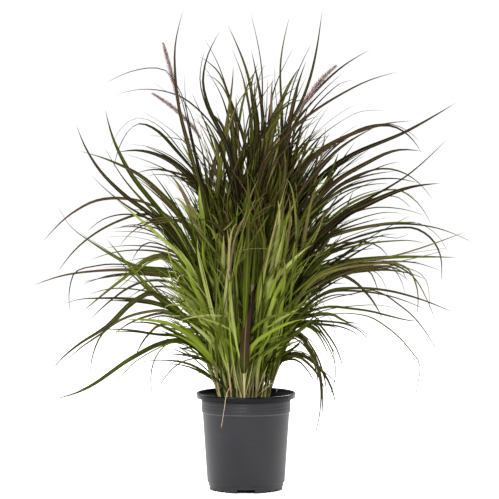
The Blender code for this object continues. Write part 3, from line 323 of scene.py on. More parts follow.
def add_stem(skin, foot, top, rng):
    """A stem wrapped in leaf sheaths: a round tube with the steps where each sheath ends."""
    sides = 9
    length = np.linalg.norm(top - foot)
    count = max(10, int(length / 0.009))
    ahead = unit(top - foot)
    right = unit(np.cross(ahead, (0.0, 1.0, 0.0)))
    front = np.cross(ahead, right)
    ends = sorted(rng.uniform(0.15, 0.9) for _ in range(3))
    pink = rng.random() < 0.45
    shade = rng.uniform(0.20, 1.0)
    bend = rng.uniform(-0.0015, 0.0015)
    rows = []
    for i in range(count):
        share = i / (count - 1)
        wraps = sum(1 for end in ends if end > share)
        radius = 0.5 * STEM_WIDTH * (0.80 + 0.13 * wraps) * (1.0 - 0.25 * share)
        radius *= 1.0 - 0.35 * smooth_step((share - 0.9) / 0.1)
        centre = foot + ahead * (length * share) + right * (bend * math.sin(math.pi * share))
        ring = []
        for k in range(sides):
            angle = 2 * math.pi * k / sides
            flatten = 1.0 + 0.18 * math.cos(2 * angle + 3 * bend * 1000)
            ring.append(centre + radius * flatten * (math.cos(angle) * right
                                                     + math.sin(angle) * front))
        base = sheath_share(centre[2] - 0.03)
        rows.append(skin.add_row(ring, along=-0.2 + 0.2 * share,
                                 across=[math.cos(2 * math.pi * k / sides) for k in range(sides)],
                                 purple=(0.62 if pink else 0.10) * base + 0.12, shade=shade,
                                 pale=base))
    for i in range(count - 1):
        low, high = 0.01 + 0.98 * i / (count - 1), 0.01 + 0.98 * (i + 1) / (count - 1)
        for k in range(sides):
            a, b = rows[i] + k, rows[i] + (k + 1) % sides
            c, d = rows[i + 1] + (k + 1) % sides, rows[i + 1] + k
            left, right_u = 0.02 + 0.96 * k / sides, 0.02 + 0.96 * (k + 1) / sides
            skin.add_face((a, b, c, d), ((left, low), (right_u, low), (right_u, high),
                                         (left, high)))
    skin.add_face([rows[0] + k for k in range(sides - 1, -1, -1)],
                  [(0.99, 0.001 + 0.001 * k) for k in range(sides)])
    skin.add_face([rows[-1] + k for k in range(sides)],
                  [(0.995, 0.001 + 0.001 * k) for k in range(sides)])
    skin.slot += 1


def read_shoot(node):
    """The stem's two ends and the blades of a packed shoot: each blade's path and upper side."""
    build = bmesh.new()
    build.from_mesh(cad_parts[node].data)
    bmesh.ops.remove_doubles(build, verts=build.verts, dist=0.000001)
    build.verts.ensure_lookup_table()
    blades = []
    used = set()
    for vertex in build.verts:
        if len(vertex.link_edges) != 3:
            continue
        layer = {edge.other_vert(vertex) for edge in vertex.link_edges}
        if min((v.co - vertex.co).length for v in layer) < 0.006:
            continue
        before = {vertex}
        rings = []
        while len(layer) == 3:
            rings.append([np.array(v.co) for v in layer])
            used |= layer | {vertex}
            following = {edge.other_vert(v) for v in layer for edge in v.link_edges}
            before, layer = layer, following - layer - before
        blades.append((np.array(vertex.co), rings[::-1]))
    rest = [np.array(v.co) for v in build.verts if v not in used]
    build.free()
    rest.sort(key=lambda p: p[2])
    foot = sum(rest[:4]) / 4
    top = sum(rest[-4:]) / 4
    return foot, top, [shape_blade(tip, rings, top - foot) for tip, rings in blades]


def shape_blade(tip, rings, stem):
    """Path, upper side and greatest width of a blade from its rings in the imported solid."""
    root = sum(rings[0]) / 3
    run = [root]
    ups = []
    widths = []
    for ring in rings[1:]:
        pairs = ((0, 1, 2), (1, 2, 0), (2, 0, 1))
        a, b, keel = max(pairs, key=lambda p: np.linalg.norm(ring[p[0]] - ring[p[1]]))
        middle = 0.5 * (ring[a] + ring[b])
        rise = middle - ring[keel]
        run.append(middle - 0.4 * rise)
        ups.append(unit(rise))
        widths.append(np.linalg.norm(ring[a] - ring[b]))
    run.append(tip)
    first = unit(0.55 * unit(stem) + 0.45 * unit(run[1] - run[0]))
    dense = spline(run, first)
    spans = np.linalg.norm(np.diff(np.array(run), axis=0), axis=1)
    marks = np.concatenate(([0.0], np.cumsum(spans))) / sum(spans)
    count = max(14, min(36, int(sum(spans) / BLADE_STEP)))
    path, length = evenly(dense, count)
    known = np.array([ups[0]] + ups + [ups[-1]])
    shares = np.linspace(0.0, 1.0, count)
    turned = np.column_stack([np.interp(shares, marks, known[:, k]) for k in range(3)])
    width = max(w / max(solid_width(m), 0.2) for w, m in zip(widths, marks[1:-1]))
    return {"path": path, "ups": turned, "width": width, "length": length}


def companion(blade, rng):
    """A shorter, thinner blade that leaves beside a traced one and drifts away from it."""
    path, ups = blade["path"], blade["ups"]
    last = max(8, int(len(path) * rng.uniform(0.55, 0.95)))
    first = int(last * rng.uniform(0.0, 0.25))
    path, ups = path[first:last].copy(), ups[first:last].copy()
    ahead = np.gradient(path, axis=0)
    drift = rng.uniform(0.004, 0.022) * rng.choice((-1, 1))
    fall = rng.uniform(-0.020, 0.012)
    depth = rng.uniform(-0.035, 0.035)
    for i in range(len(path)):
        share = i / (len(path) - 1)
        edge = unit(np.cross(ahead[i], (0.0, 1.0, 0.0)))
        path[i] += edge * (drift * share ** 1.4)
        path[i] += np.array((0.0, depth * share, fall * share ** 2))
        turn = 0.9 * drift / 0.022 * share
        ups[i] = ups[i] * math.cos(turn) + edge * math.sin(turn)
    width = min(blade["width"], 0.011) * rng.uniform(0.55, 0.95)
    return {"path": path, "ups": ups, "width": width}


def faced_blade(path, facing, width, step=BLADE_STEP):
    """A blade along a line, its upper side turned as far as it goes to the facing."""
    length = float(np.sum(np.linalg.norm(np.diff(path, axis=0), axis=1)))
    even, _ = evenly(path, max(12, min(40, int(length / step))))
    return {"path": even, "ups": np.array([facing] * len(even)), "width": width}


def thin_blade(foot, top, points, width):
    """A thin blade from the stem of its shoot through the points where it is seen."""
    first = min(max((points[0][1] * 0.001 - 0.06 - foot[2]) / (top[2] - foot[2]), 0.08), 1.0)
    start = foot + (top - foot) * first
    out = 0.25 * math.copysign(1.0, start[1])
    line = [start]
    for x, z in points:
        away = math.hypot(x * 0.001 - start[0], z * 0.001 - start[2])
        line.append(from_front(x * 0.001, z * 0.001, start[1] + out * away))
    dense = spline(line, unit(top - foot))
    facing = unit(np.array((-0.3 * math.copysign(1.0, points[-1][0]), -0.55, 0.75)))
    return faced_blade(dense, facing, width * 0.0012)


def nearest_shoot(shoots, x, z):
    """The shoot in the front half of the clump whose stem leads most nearly to a seen point."""
    def miss(number):
        foot, top, _ = shoots[number]
        reach = (z - foot[2]) / max(top[2] - foot[2], 0.01)
        lead = foot + (top - foot) * min(reach, 1.3)
        return abs(lead[0] - 0.5 * x) + 0.25 * abs(foot[1] + 0.02)
    return min(range(len(shoots)), key=miss)


def crown_limits(height):
    """How far the crown reaches to the left and right at a height."""
    heights, lefts, rights = zip(*CROWN)
    return float(np.interp(height, heights, lefts)), float(np.interp(height, heights, rights))


def crown_share(point, is_long):
    """How far out a point lies in the crown: 0 on its axis, 1 at its edge."""
    x, z = to_front(point)
    left, right = crown_limits(z)
    side = (x + 0.004) / (right if x > -0.004 else left)
    reach = min(CROWN_DEPTH, 1.1 * max(left, right))
    if is_long:
        reach = float(np.interp(z, *zip(*LONG_REACH)))
    return math.hypot(side, point[1] / reach)


def hides_sheath(point):
    """Whether a blade here would stand in front of the wide dark sheath."""
    if point[1] > SHEATH_DEPTH + 0.01:
        return False
    x, z = to_front(point)
    line = float(np.interp(z, [p[1] for p in SHEATH_LINE], [p[0] for p in SHEATH_LINE]))
    return 0.27 < z < 0.54 and abs(x - line) < SHEATH_CLEAR


def is_in_crown(path, is_long):
    for point in path:
        if hides_sheath(point):
            return False
        if to_front(point)[1] > CROWN_TOP or point[2] < 0.222:
            return False
        if point[2] < 0.27 and math.hypot(point[0], point[1]) > 0.09:
            return False
        if crown_share(point, is_long) > 1.0:
            return False
    return True


def extra_blade(foot, top, rng):
    """A blade by rule that fills the crown: leaves its stem and arches out to a tip."""
    stem = unit(top - foot)
    for _ in range(120):
        from_soil = rng.random() < 0.15
        start = foot + (top - foot) * (0.0 if from_soil else rng.uniform(0.06, 1.0))
        if from_soil:
            around = rng.uniform(0.0, 2 * math.pi)
            start = start + np.array((math.cos(around), math.sin(around), 0.0)) * 0.0045
        is_long = rng.random() < LONG_SHARE
        heading = math.atan2(foot[1], foot[0] - CLUMP_CENTRE_X) + rng.gauss(0.0, 0.65)
        if is_long:
            heading = math.copysign(0.5 * math.pi, math.sin(heading)) + rng.gauss(0.0, 0.55)
        level = np.array((math.cos(heading), math.sin(heading), 0.0))
        height = rng.uniform(0.26 if is_long else 0.31, CROWN_TOP)
        left, right = crown_limits(height)
        reach = (right if level[0] > 0 else left) * abs(level[0]) + CROWN_DEPTH * abs(level[1])
        out = rng.uniform(0.25, 1.0) ** 0.5
        if is_long:
            reach = float(np.interp(height, *zip(*LONG_REACH)))
            out = rng.uniform(0.55, 0.98)
        tip = level * (reach * out) + np.array((CLUMP_CENTRE_X, 0.0, height))
        if tip[1] < -0.07 and abs(tip[0]) < 0.13 and height < 0.52:
            continue
        span = np.linalg.norm(tip - start)
        if not 0.12 < span < 0.66:
            continue
        droop = math.radians(rng.uniform(5.0, 50.0) + 75.0 * out * rng.random())
        if is_long:
            droop = math.radians(rng.uniform(35.0, 95.0) + 70.0 * smooth_step((0.6 - height) / 0.3))
        end = level * math.sin(droop) + np.array((0.0, 0.0, 1.0)) * math.cos(droop)
        side = np.cross(level, (0.0, 0.0, 1.0))
        bow = side * (span * rng.uniform(-0.12, 0.12))
        second = start + stem * (span * rng.uniform(0.30, 0.50)) + bow
        third = tip - end * (span * rng.uniform(0.15, 0.40)) + bow
        count = max(12, min(30, int(span * 1.15 / BLADE_STEP)))
        steps = np.linspace(0.0, 1.0, count)[:, None]
        path = ((1 - steps) ** 3 * start + 3 * (1 - steps) ** 2 * steps * second
                + 3 * (1 - steps) * steps ** 2 * third + steps ** 3 * tip)
        if not is_in_crown(path[5 if from_soil else 2:], is_long):
            continue
        thinning = TOP_THINNING * smooth_step((height - 0.62) / 0.14)
        if rng.random() < thinning * (1.0 - 0.6 * smooth_step((tip[0] - 0.05) / 0.05)):
            continue
        roll = rng.uniform(0.15, 1.20) * rng.choice((-1, 1))
        ups = []
        for ahead in np.gradient(path, axis=0):
            ahead = unit(ahead)
            across = unit(np.cross(ahead, side))
            across = across if across @ (np.array((0.0, 0.0, 1.0)) - level) > 0 else -across
            ups.append(across * math.cos(roll) + np.cross(ahead, across) * math.sin(roll))
        width = rng.uniform(0.0040, 0.0070) if from_soil else rng.uniform(0.0070, 0.0150)
        width *= 0.75 if is_long else 1.0 + 0.50 * smooth_step((height - 0.60) / 0.2)
        pale = rng.choice((0.0, 0.1, 0.9)) if from_soil else rng.uniform(0.0, 0.7)
        return {"path": path, "ups": np.array(ups), "width": width, "height": height,
                "out": 1.0 if is_long else crown_share(tip, False), "pale": pale}
    return None


# Tips of the blades whose colour stands out, as seen from the front: x and z in millimetres
BRIGHT_TIPS = ((-152, 802), (-298, 665), (-282, 388), (132, 337), (-108, 700), (-60, 680),
               (-18, 660), (62, 720), (118, 668), (-40, 470), (-50, 445), (140, 392), (-146, 489),
               (-127, 465), (72, 445), (76, 450))
GREEN_TIPS = ((-322, 872), (-220, 735), (-325, 577), (-250, 557), (-430, 650), (-376, 407),
              (-337, 367), (-275, 382), (-450, 203), (-362, 201), (99, 1082), (424, 608),
              (410, 628), (415, 563), (484, 532), (328, 526), (266, 381), (276, 204), (176, 189),
              (2, 740), (38, 660), (84, 510))
PURPLE_TIPS = ((-298, 772), (-58, 1052), (402, 775), (445, 702), (12, 560), (480, 886))


def tip_purple(tip, rng):
    x, z = to_front(tip)
    for tips, purple in ((BRIGHT_TIPS, 0.02), (GREEN_TIPS, 0.25), (PURPLE_TIPS, 1.0)):
        if any(math.hypot(x * 1000 - a, z * 1000 - b) < 7 for a, b in tips):
            return purple
    return rng.uniform(0.45, 0.85)


def linear(red, green, blue):
    """Colour of a material from its sRGB values, 0 to 255."""
    def channel(value):
        value /= 255.0
        return value / 12.92 if value <= 0.04045 else ((value + 0.055) / 1.055) ** 2.4
    return (channel(red), channel(green), channel(blue), 1.0)


class Nodes:
    """Short ways to lay out a material's nodes."""

    def __init__(self, name):
        self.material = bpy.data.materials.new(name)
        self.material.use_nodes = True
        self.tree = self.material.node_tree
        self.tree.nodes.clear()
        self.output = self.add("ShaderNodeOutputMaterial")

    def add(self, kind, **settings):
        node = self.tree.nodes.new(kind)
        for key, value in settings.items():
            setattr(node, key, value)
        return node

    def link(self, source, target):
        self.tree.links.new(source, target)

    def mark(self, name):
        return self.add("ShaderNodeAttribute", attribute_name=name).outputs["Fac"]

    def maths(self, operation, first, second=None, clamp=False):
        node = self.add("ShaderNodeMath", operation=operation, use_clamp=clamp)
        for socket, value in zip(node.inputs, (first, second)):
            if value is None:
                continue
            if isinstance(value, (int, float)):
                socket.default_value = value
            else:
                self.link(value, socket)
        return node.outputs[0]

    def mix(self, factor, first, second, kind="MIX"):
        node = self.add("ShaderNodeMix", data_type="RGBA", blend_type=kind)
        for socket, value in ((node.inputs["Factor"], factor), (node.inputs[6], first),
                              (node.inputs[7], second)):
            if isinstance(value, (int, float, tuple)):
                socket.default_value = value
            else:
                self.link(value, socket)
        return node.outputs[2]

    def ramp(self, factor, stops):
        node = self.add("ShaderNodeValToRGB")
        elements = node.color_ramp.elements
        while len(elements) < len(stops):
            elements.new(0.5)
        for element, (place, colour) in zip(elements, stops):
            element.position = place
            element.color = colour
        self.link(factor, node.inputs["Fac"])
        return node.outputs["Color"]

    def noise(self, vector, scale, detail=3.0, roughness=0.5):
        node = self.add("ShaderNodeTexNoise")
        node.inputs["Scale"].default_value = scale
        node.inputs["Detail"].default_value = detail
        node.inputs["Roughness"].default_value = roughness
        if vector is not None:
            self.link(vector, node.inputs["Vector"])
        return node.outputs["Fac"]

    def place(self):
        return self.add("ShaderNodeTexCoord").outputs["Object"]


def grass_material():
    n = Nodes("grass")
    along, across = n.mark("along"), n.mark("across")
    purple, shade, pale = n.mark("purple"), n.mark("shade"), n.mark("pale")
    streak_place = n.add("ShaderNodeCombineXYZ")
    n.link(n.maths("MULTIPLY", across, 5.0), streak_place.inputs["X"])
    n.link(n.maths("MULTIPLY", along, 5.0), streak_place.inputs["Y"])
    n.link(n.maths("MULTIPLY", shade, 37.0), streak_place.inputs["Z"])
    streaks = n.noise(streak_place.outputs[0], 1.6, 4.0, 0.6)
    patches = n.noise(n.place(), 22.0, 3.0)
    tone = n.maths("ADD", n.maths("MULTIPLY", shade, 0.80),
                   n.maths("MULTIPLY", n.maths("SUBTRACT", streaks, 0.5), 0.6))
    green = n.ramp(tone, ((0.0, linear(24, 30, 0)), (0.30, linear(74, 88, 2)),
                          (0.62, linear(120, 138, 38)), (1.0, linear(178, 188, 112))))
    burgundy = n.ramp(tone, ((0.0, linear(18, 11, 3)), (0.35, linear(60, 41, 27)),
                             (0.7, linear(106, 80, 64)), (1.0, linear(162, 132, 120))))
    edge = n.maths("POWER", n.maths("ABSOLUTE", across), 2.5)
    amount = n.maths("ADD", purple, n.maths("MULTIPLY", n.maths("SUBTRACT", patches, 0.5), 0.9))
    amount = n.maths("ADD", amount, n.maths("MULTIPLY", edge, 0.18), clamp=True)
    colour = n.mix(amount, green, burgundy)
    rib = n.maths("SUBTRACT", 1.0, n.maths("MULTIPLY", n.maths("ABSOLUTE", across), 7.0),
                  clamp=True)
    colour = n.mix(n.maths("MULTIPLY", rib, 0.25), colour, linear(170, 180, 104))
    dry = n.maths("MULTIPLY", n.maths("SUBTRACT", along, 0.93), 12.0, clamp=True)
    colour = n.mix(n.maths("MULTIPLY", dry, 0.35), colour, linear(86, 64, 44))
    sheath = n.mix(amount, linear(232, 228, 158), linear(196, 166, 136))
    pale = n.maths("MULTIPLY", pale, n.maths("ADD", 0.22, shade), clamp=True)
    pale = n.maths("MULTIPLY", pale, n.maths("ADD", 0.45, n.maths("MULTIPLY", streaks, 0.8)),
                   clamp=True)
    colour = n.mix(pale, colour, sheath)
    colour = n.mix(n.maths("MULTIPLY", n.mark("dead"), 0.85), colour,
                   n.mix(streaks, linear(142, 112, 88), linear(220, 202, 172)))
    shader = n.add("ShaderNodeBsdfPrincipled")
    n.link(colour, shader.inputs["Base Color"])
    n.link(n.maths("ADD", 0.42, n.maths("MULTIPLY", streaks, 0.2)), shader.inputs["Roughness"])
    shader.inputs["Specular IOR Level"].default_value = 0.06
    bump = n.add("ShaderNodeBump")
    bump.inputs["Strength"].default_value = 0.25
    bump.inputs["Distance"].default_value = 0.0004
    n.link(streaks, bump.inputs["Height"])
    n.link(bump.outputs[0], shader.inputs["Normal"])
    through = n.add("ShaderNodeBsdfTranslucent")
    n.link(colour, through.inputs["Color"])
    both = n.add("ShaderNodeMixShader")
    both.inputs["Fac"].default_value = 0.18
    n.link(shader.outputs[0], both.inputs[1])
    n.link(through.outputs[0], both.inputs[2])
    n.link(both.outputs[0], n.output.inputs["Surface"])
    return n.material


def plastic_material(name, specular, roughness):
    n = Nodes(name)
    place = n.place()
    inside, lip, edge = n.mark("inside"), n.mark("lip"), n.mark("edge")
    fine = n.noise(place, 260.0, 4.0, 0.6)
    dust = n.noise(place, 14.0, 5.0, 0.65)
    stretched = n.add("ShaderNodeMapping")
    stretched.inputs["Scale"].default_value = (1.0, 1.0, 9.0)
    n.link(place, stretched.inputs["Vector"])
    scuff = n.noise(stretched.outputs[0], 30.0, 6.0, 0.7)
    marks = n.maths("MULTIPLY", n.maths("SUBTRACT", scuff, 0.56), 5.0, clamp=True)
    colour = n.ramp(dust, ((0.30, linear(9, 8, 13)), (0.70, linear(18, 16, 24))))
    colour = n.mix(n.maths("MULTIPLY", marks, 0.06), colour, linear(100, 98, 98))
    # Painted shade: the inside of the pot, the underside of its lip and the lip itself turn near
    # black
    colour = n.mix(n.maths("MAXIMUM", inside, n.maths("MULTIPLY", lip, 0.8)), colour,
                   linear(4, 4, 4))
    # Painted highlight: a pale line along the collar's bottom edge
    colour = n.mix(n.maths("MULTIPLY", edge, 0.5), colour, linear(96, 94, 98))
    shader = n.add("ShaderNodeBsdfPrincipled")
    n.link(colour, shader.inputs["Base Color"])
    rough = n.maths("ADD", roughness, n.maths("MULTIPLY", dust, 0.16))
    rough = n.maths("ADD", rough, n.maths("MULTIPLY", inside, 0.5), clamp=True)
    n.link(rough, shader.inputs["Roughness"])
    shader.inputs["Specular IOR Level"].default_value = specular
    bump = n.add("ShaderNodeBump")
    bump.inputs["Strength"].default_value = 0.12
    bump.inputs["Distance"].default_value = 0.0003
    n.link(fine, bump.inputs["Height"])
    n.link(bump.outputs[0], shader.inputs["Normal"])
    n.link(shader.outputs[0], n.output.inputs["Surface"])
    return n.material


def soil_material():
    n = Nodes("potting_mix")
    place = n.place()
    coarse = n.noise(place, 90.0, 5.0, 0.6)
    fine = n.noise(place, 520.0, 4.0, 0.6)
    colour = n.ramp(coarse, ((0.25, linear(18, 13, 9)), (0.50, linear(52, 38, 26)),
                             (0.68, linear(92, 68, 46)), (0.85, linear(130, 104, 76))))
    shader = n.add("ShaderNodeBsdfPrincipled")
    n.link(colour, shader.inputs["Base Color"])
    shader.inputs["Roughness"].default_value = 0.95
    bump = n.add("ShaderNodeBump")
    bump.inputs["Strength"].default_value = 0.8
    bump.inputs["Distance"].default_value = 0.002
    n.link(fine, bump.inputs["Height"])
    n.link(bump.outputs[0], shader.inputs["Normal"])
    n.link(shader.outputs[0], n.output.inputs["Surface"])
    return n.material


def spike_material():
    n = Nodes("flower_bristles")
    along, shade = n.mark("along"), n.mark("shade")
    colour = n.ramp(shade, ((0.0, linear(74, 50, 54)), (0.5, linear(128, 96, 98)),
                            (1.0, linear(196, 168, 164))))
    colour = n.mix(n.maths("MULTIPLY", along, 0.4), colour, linear(214, 194, 188))
    shader = n.add("ShaderNodeBsdfPrincipled")
    n.link(colour, shader.inputs["Base Color"])
    shader.inputs["Roughness"].default_value = 0.7
    through = n.add("ShaderNodeBsdfTranslucent")
    n.link(colour, through.inputs["Color"])
    both = n.add("ShaderNodeMixShader")
    both.inputs["Fac"].default_value = 0.3
    n.link(shader.outputs[0], both.inputs[1])
    n.link(through.outputs[0], both.inputs[2])
    n.link(both.outputs[0], n.output.inputs["Surface"])
    return n.material


def any_shade(height, rng):
    """How light a blade is: a few catch the light, more lie in shade, most of all high up."""
    kind = rng.random()
    if kind < 0.22:
        shade = rng.uniform(0.72, 1.0)
    elif kind < 0.68:
        shade = rng.uniform(0.38, 0.68)
    else:
        shade = rng.uniform(0.0, 0.28)
    return shade + 0.06 - 0.12 * smooth_step((height - 0.50) / 0.40)


def add_thin_blades(skin, shoots, number, rng):
    """The thin blades, the wide sheath and the dried strip that leave this shoot."""
    foot, top, _ = shoots[number]
    for width, purple, dead, points in THIN_BLADES:
        if nearest_shoot(shoots, points[0][0] * 0.001, points[0][1] * 0.001) != number:
            continue
        blade = thin_blade(foot, top, points, width)
        add_blade(skin, blade, FULL_SECTION, purple, rng.uniform(0.2, 0.6), 0.4, rng, dead)
    if nearest_shoot(shoots, *SHEATH_LINE[0]) == number:
        line = [from_front(x, z, SHEATH_DEPTH) for x, z in SHEATH_LINE]
        line[0] = foot + (top - foot) * 0.05 + np.array((0.0, -0.004, 0.0))
        dense = spline(line, unit(line[1] - line[0]))
        sheath = faced_blade(dense, np.array((0.1, 1.0, 0.0)), SHEATH_WIDTH)
        add_blade(skin, sheath, FULL_SECTION, 1.9, 0.30, 0.0, rng)
        line = [from_front(x, z, SHEATH_DEPTH - 0.004) for x, z in PATCH_LINE]
        patch = faced_blade(spline(line, unit(line[1] - line[0])), np.array((0.1, 1.0, 0.0)),
                            PATCH_WIDTH)
        add_blade(skin, patch, FULL_SECTION, 0.9, 0.40, 0.0, rng, 0.30)
    if nearest_shoot(shoots, STRIP_LINE[0][0], STRIP_LINE[0][2]) == number:
        line = [foot + (top - foot) * 0.03] + [np.array(point) for point in STRIP_LINE]
        dense = spline(line, unit(top - foot))
        strip = faced_blade(dense, unit(np.array((0.0, -0.8, 0.6))), STRIP_WIDTH, 0.006)
        add_blade(skin, strip, FULL_SECTION, 0.4, 0.9, 0.0, rng, 1.0)


def make_shoots(material):
    names = sorted(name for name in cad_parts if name.startswith("shoot_"))
    shoots = [read_shoot(name) for name in names]
    for number, name in enumerate(names):
        rng = random.Random(SEED * 100 + number)
        foot, top, blades = shoots[number]
        extras = [extra_blade(foot, top, rng) for _ in range(EXTRA_PER_SHOOT)]
        extras = [blade for blade in extras if blade]
        skin = Skin(4 * len(blades) + len(extras) + len(THIN_BLADES) + 4)
        add_stem(skin, foot, top, rng)
        for blade in blades:
            height = blade["path"][-1][2]
            purple = tip_purple(blade["path"][-1], rng)
            if purple < 0.1:
                shade = rng.uniform(0.62, 0.90)
            elif purple > 0.9:
                shade = rng.uniform(0.05, 0.25)
            else:
                shade = rng.uniform(0.05, 0.60) * (1.0 - 0.48 * smooth_step((height - 0.6) / 0.15))
            blade["width"] *= TRACED_WIDER + UPPER_WIDER * smooth_step((height - 0.6) / 0.15)
            add_blade(skin, blade, FULL_SECTION, purple, shade, rng.uniform(0.3, 1.0), rng)
            for _ in range(2 if blade["length"] > 0.25 else 1):
                tone = min(max(purple + rng.uniform(-0.2, 0.2), 0.0), 1.0)
                add_blade(skin, companion(blade, rng), PLAIN_SECTION, tone,
                          shade + rng.uniform(-0.2, 0.2), rng.uniform(0.0, 0.9), rng)
        for blade in extras:
            purple = rng.uniform(0.0, 0.30) + 0.12 * smooth_step((blade["height"] - 0.58) / 0.30)
            purple += 0.50 * smooth_step((blade["out"] - 0.5) / 0.5) * rng.random()
            shade = any_shade(blade["height"], rng)
            if blade["height"] < 0.68:
                green = smooth_step((abs(blade["path"][-1][0]) - 0.04) / 0.06)
                purple *= 1.0 - 0.6 * green
                shade += 0.10 * green
            add_blade(skin, blade, PLAIN_SECTION, purple, shade, blade["pale"], rng)
        add_thin_blades(skin, shoots, number, rng)
        piece = skin.to_object(f"grass_{name}", material)
        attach(piece, "root")
        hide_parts(name)


def turned(name, profile, steps, material):
    mesh = bpy.data.meshes.new(name)
    mesh.from_pydata([(r, 0.0, z) for r, z in profile],
                     [(i, i + 1) for i in range(len(profile) - 1)], [])
    mesh.materials.append(material)
    obj = bpy.data.objects.new(name, mesh)
    bpy.context.scene.collection.objects.link(obj)
    screw = obj.modifiers.new("Turn", "SCREW")
    screw.axis = "Z"
    screw.steps = steps
    screw.render_steps = steps
    screw.use_merge_vertices = True
    screw.merge_threshold = 0.00005
    return obj


def pot_profile():
    """Outside from the lip down, the underside, and back up the inside."""
    profile = [(0.0, FLOOR), (FOOT_RADIUS - WALL - 0.0015, FLOOR),
               (FOOT_RADIUS - WALL, FLOOR + 0.0015), (FOOT_RADIUS - WALL, FOOT_HEIGHT),
               (BODY_BOTTOM_RADIUS - WALL, FOOT_HEIGHT + 0.003)]
    profile += [(BODY_TOP_RADIUS - WALL, COLLAR_BOTTOM - 0.002),
                (COLLAR_RADIUS - WALL - 0.0004, COLLAR_BOTTOM + 0.0005),
                (COLLAR_RADIUS - WALL, 0.2062), (MOUTH_RADIUS - 0.0010, 0.2130),
                (MOUTH_RADIUS, 0.2152), (MOUTH_RADIUS + 0.0001, POT_HEIGHT - 0.0012),
                (MOUTH_RADIUS + 0.0005, POT_HEIGHT - 0.0004), (MOUTH_RADIUS + 0.0013, POT_HEIGHT)]
    profile += [(LIP_RADIUS - 0.0018, POT_HEIGHT), (LIP_RADIUS - 0.0008, POT_HEIGHT - 0.0004),
                (LIP_RADIUS - 0.0002, POT_HEIGHT - 0.0012), (LIP_RADIUS, POT_HEIGHT - 0.0024)]
    profile += [(LIP_RADIUS - 0.0002, 0.2114), (LIP_RADIUS - 0.0006, 0.2106),
                (LIP_RADIUS - 0.0016, 0.2102), (LIP_RADIUS - 0.0060, 0.2096),
                (COLLAR_RADIUS + 0.0011, 0.2088), (COLLAR_RADIUS + 0.0003, 0.2078)]
    for middle in (0.2020, 0.1945, 0.1870):
        profile += [(COLLAR_RADIUS, middle + 0.0024), (COLLAR_RADIUS + 0.0003, middle + 0.0010),
                    (COLLAR_RADIUS + 0.0003, middle - 0.0010), (COLLAR_RADIUS, middle - 0.0024)]
    profile += [(COLLAR_RADIUS - 0.0001, COLLAR_BOTTOM + 0.0020),
                (COLLAR_RADIUS + 0.0001, COLLAR_BOTTOM + 0.0008),
                (COLLAR_RADIUS - 0.0006, COLLAR_BOTTOM - 0.0004),
                (BODY_TOP_RADIUS + 0.0002, COLLAR_BOTTOM - 0.0018),
                (BODY_TOP_RADIUS - 0.0002, COLLAR_BOTTOM - 0.0032)]
    profile += [(BODY_BOTTOM_RADIUS, FOOT_HEIGHT + 0.0030),
                (BODY_BOTTOM_RADIUS - 0.0010, FOOT_HEIGHT + 0.0012),
                (FOOT_RADIUS + 0.0004, FOOT_HEIGHT), (FOOT_RADIUS, FOOT_HEIGHT - 0.0012),
                (FOOT_RADIUS, 0.0016), (FOOT_RADIUS - 0.0005, 0.0005),
                (FOOT_RADIUS - 0.0016, 0.0), (0.0, 0.0)]
    return profile


def make_pot(material, shaded_copy_material):
    pot = turned("nursery_pot", pot_profile(), POT_STEPS, material)
    notches = [(angle, *BIG_NOTCH) for angle in QUARTERS]
    notches += [(quarter + angle, *SMALL_NOTCH) for quarter in QUARTERS
                for angle in SMALL_NOTCH_ANGLES]
    cutters = []
    for angle, width, height in notches:
        turn = math.radians(angle)
        build = bmesh.new()
        bmesh.ops.create_cube(build, size=1.0)
        for vertex in build.verts:
            vertex.co.x *= 0.018
            vertex.co.y *= width
            vertex.co.z = (vertex.co.z + 0.5) * (height + 0.004) - 0.004
        mesh = bpy.data.meshes.new("notch")
        build.to_mesh(mesh)
        build.free()
        cutter = bpy.data.objects.new("notch", mesh)
        bpy.context.scene.collection.objects.link(cutter)
        cutter.location = (FOOT_RADIUS * math.cos(turn), FOOT_RADIUS * math.sin(turn), 0.0)
        cutter.rotation_euler = (0.0, 0.0, turn)
        cutters.append(cutter)
        cut = pot.modifiers.new("Notch", "BOOLEAN")
        cut.operation = "DIFFERENCE"
        cut.object = cutter
    bpy.context.view_layer.update()
    evaluated = pot.evaluated_get(bpy.context.evaluated_depsgraph_get())
    mesh = bpy.data.meshes.new_from_object(evaluated)
    pot.modifiers.clear()
    pot.data = mesh
    for cutter in cutters:
        bpy.data.objects.remove(cutter)
    for face in mesh.polygons:
        face.use_smooth = True
    mesh.set_sharp_from_angle(angle=math.radians(38))
    # Painted shade: inside marks the pot's inside above the collar bottom and the underside of the
    # lip, lip marks the lip itself; the material turns both near black
    inside = mesh.attributes.new("inside", "FLOAT", "POINT")
    lip = mesh.attributes.new("lip", "FLOAT", "POINT")
    # Painted highlight: edge marks a pale line along the collar's bottom edge
    edge = mesh.attributes.new("edge", "FLOAT", "POINT")
    for vertex, dark, lip_painted_shade, light in zip(mesh.vertices, inside.data, lip.data, edge.data):
        x, y, z = vertex.co
        r = math.hypot(x, y)
        limit = MOUTH_RADIUS + 0.0008 if z > LIP_BOTTOM - 0.001 else COLLAR_RADIUS - 0.5 * WALL
        shaded_under_lip = LIP_BOTTOM - 0.0026 < z < LIP_BOTTOM + 0.0001 and r < LIP_RADIUS - 0.004
        dark.value = float((r < limit and z > COLLAR_BOTTOM) or shaded_under_lip)
        lip_painted_shade.value = float(z > LIP_BOTTOM - 0.0008) * (1.0 - dark.value)
        light.value = float(r > COLLAR_RADIUS - 0.0002 and abs(z - COLLAR_BOTTOM) < 0.0012)
    # Faces wholly inside the pot or on its lip get a copy of the plastic with lower specular and
    # roughness, for painted shade
    mesh.materials.append(shaded_copy_material)
    for face in mesh.polygons:
        if all(inside.data[v].value + lip.data[v].value > 0.5 for v in face.vertices):
            face.material_index = 1
    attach(pot, "root")
    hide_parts("pot")


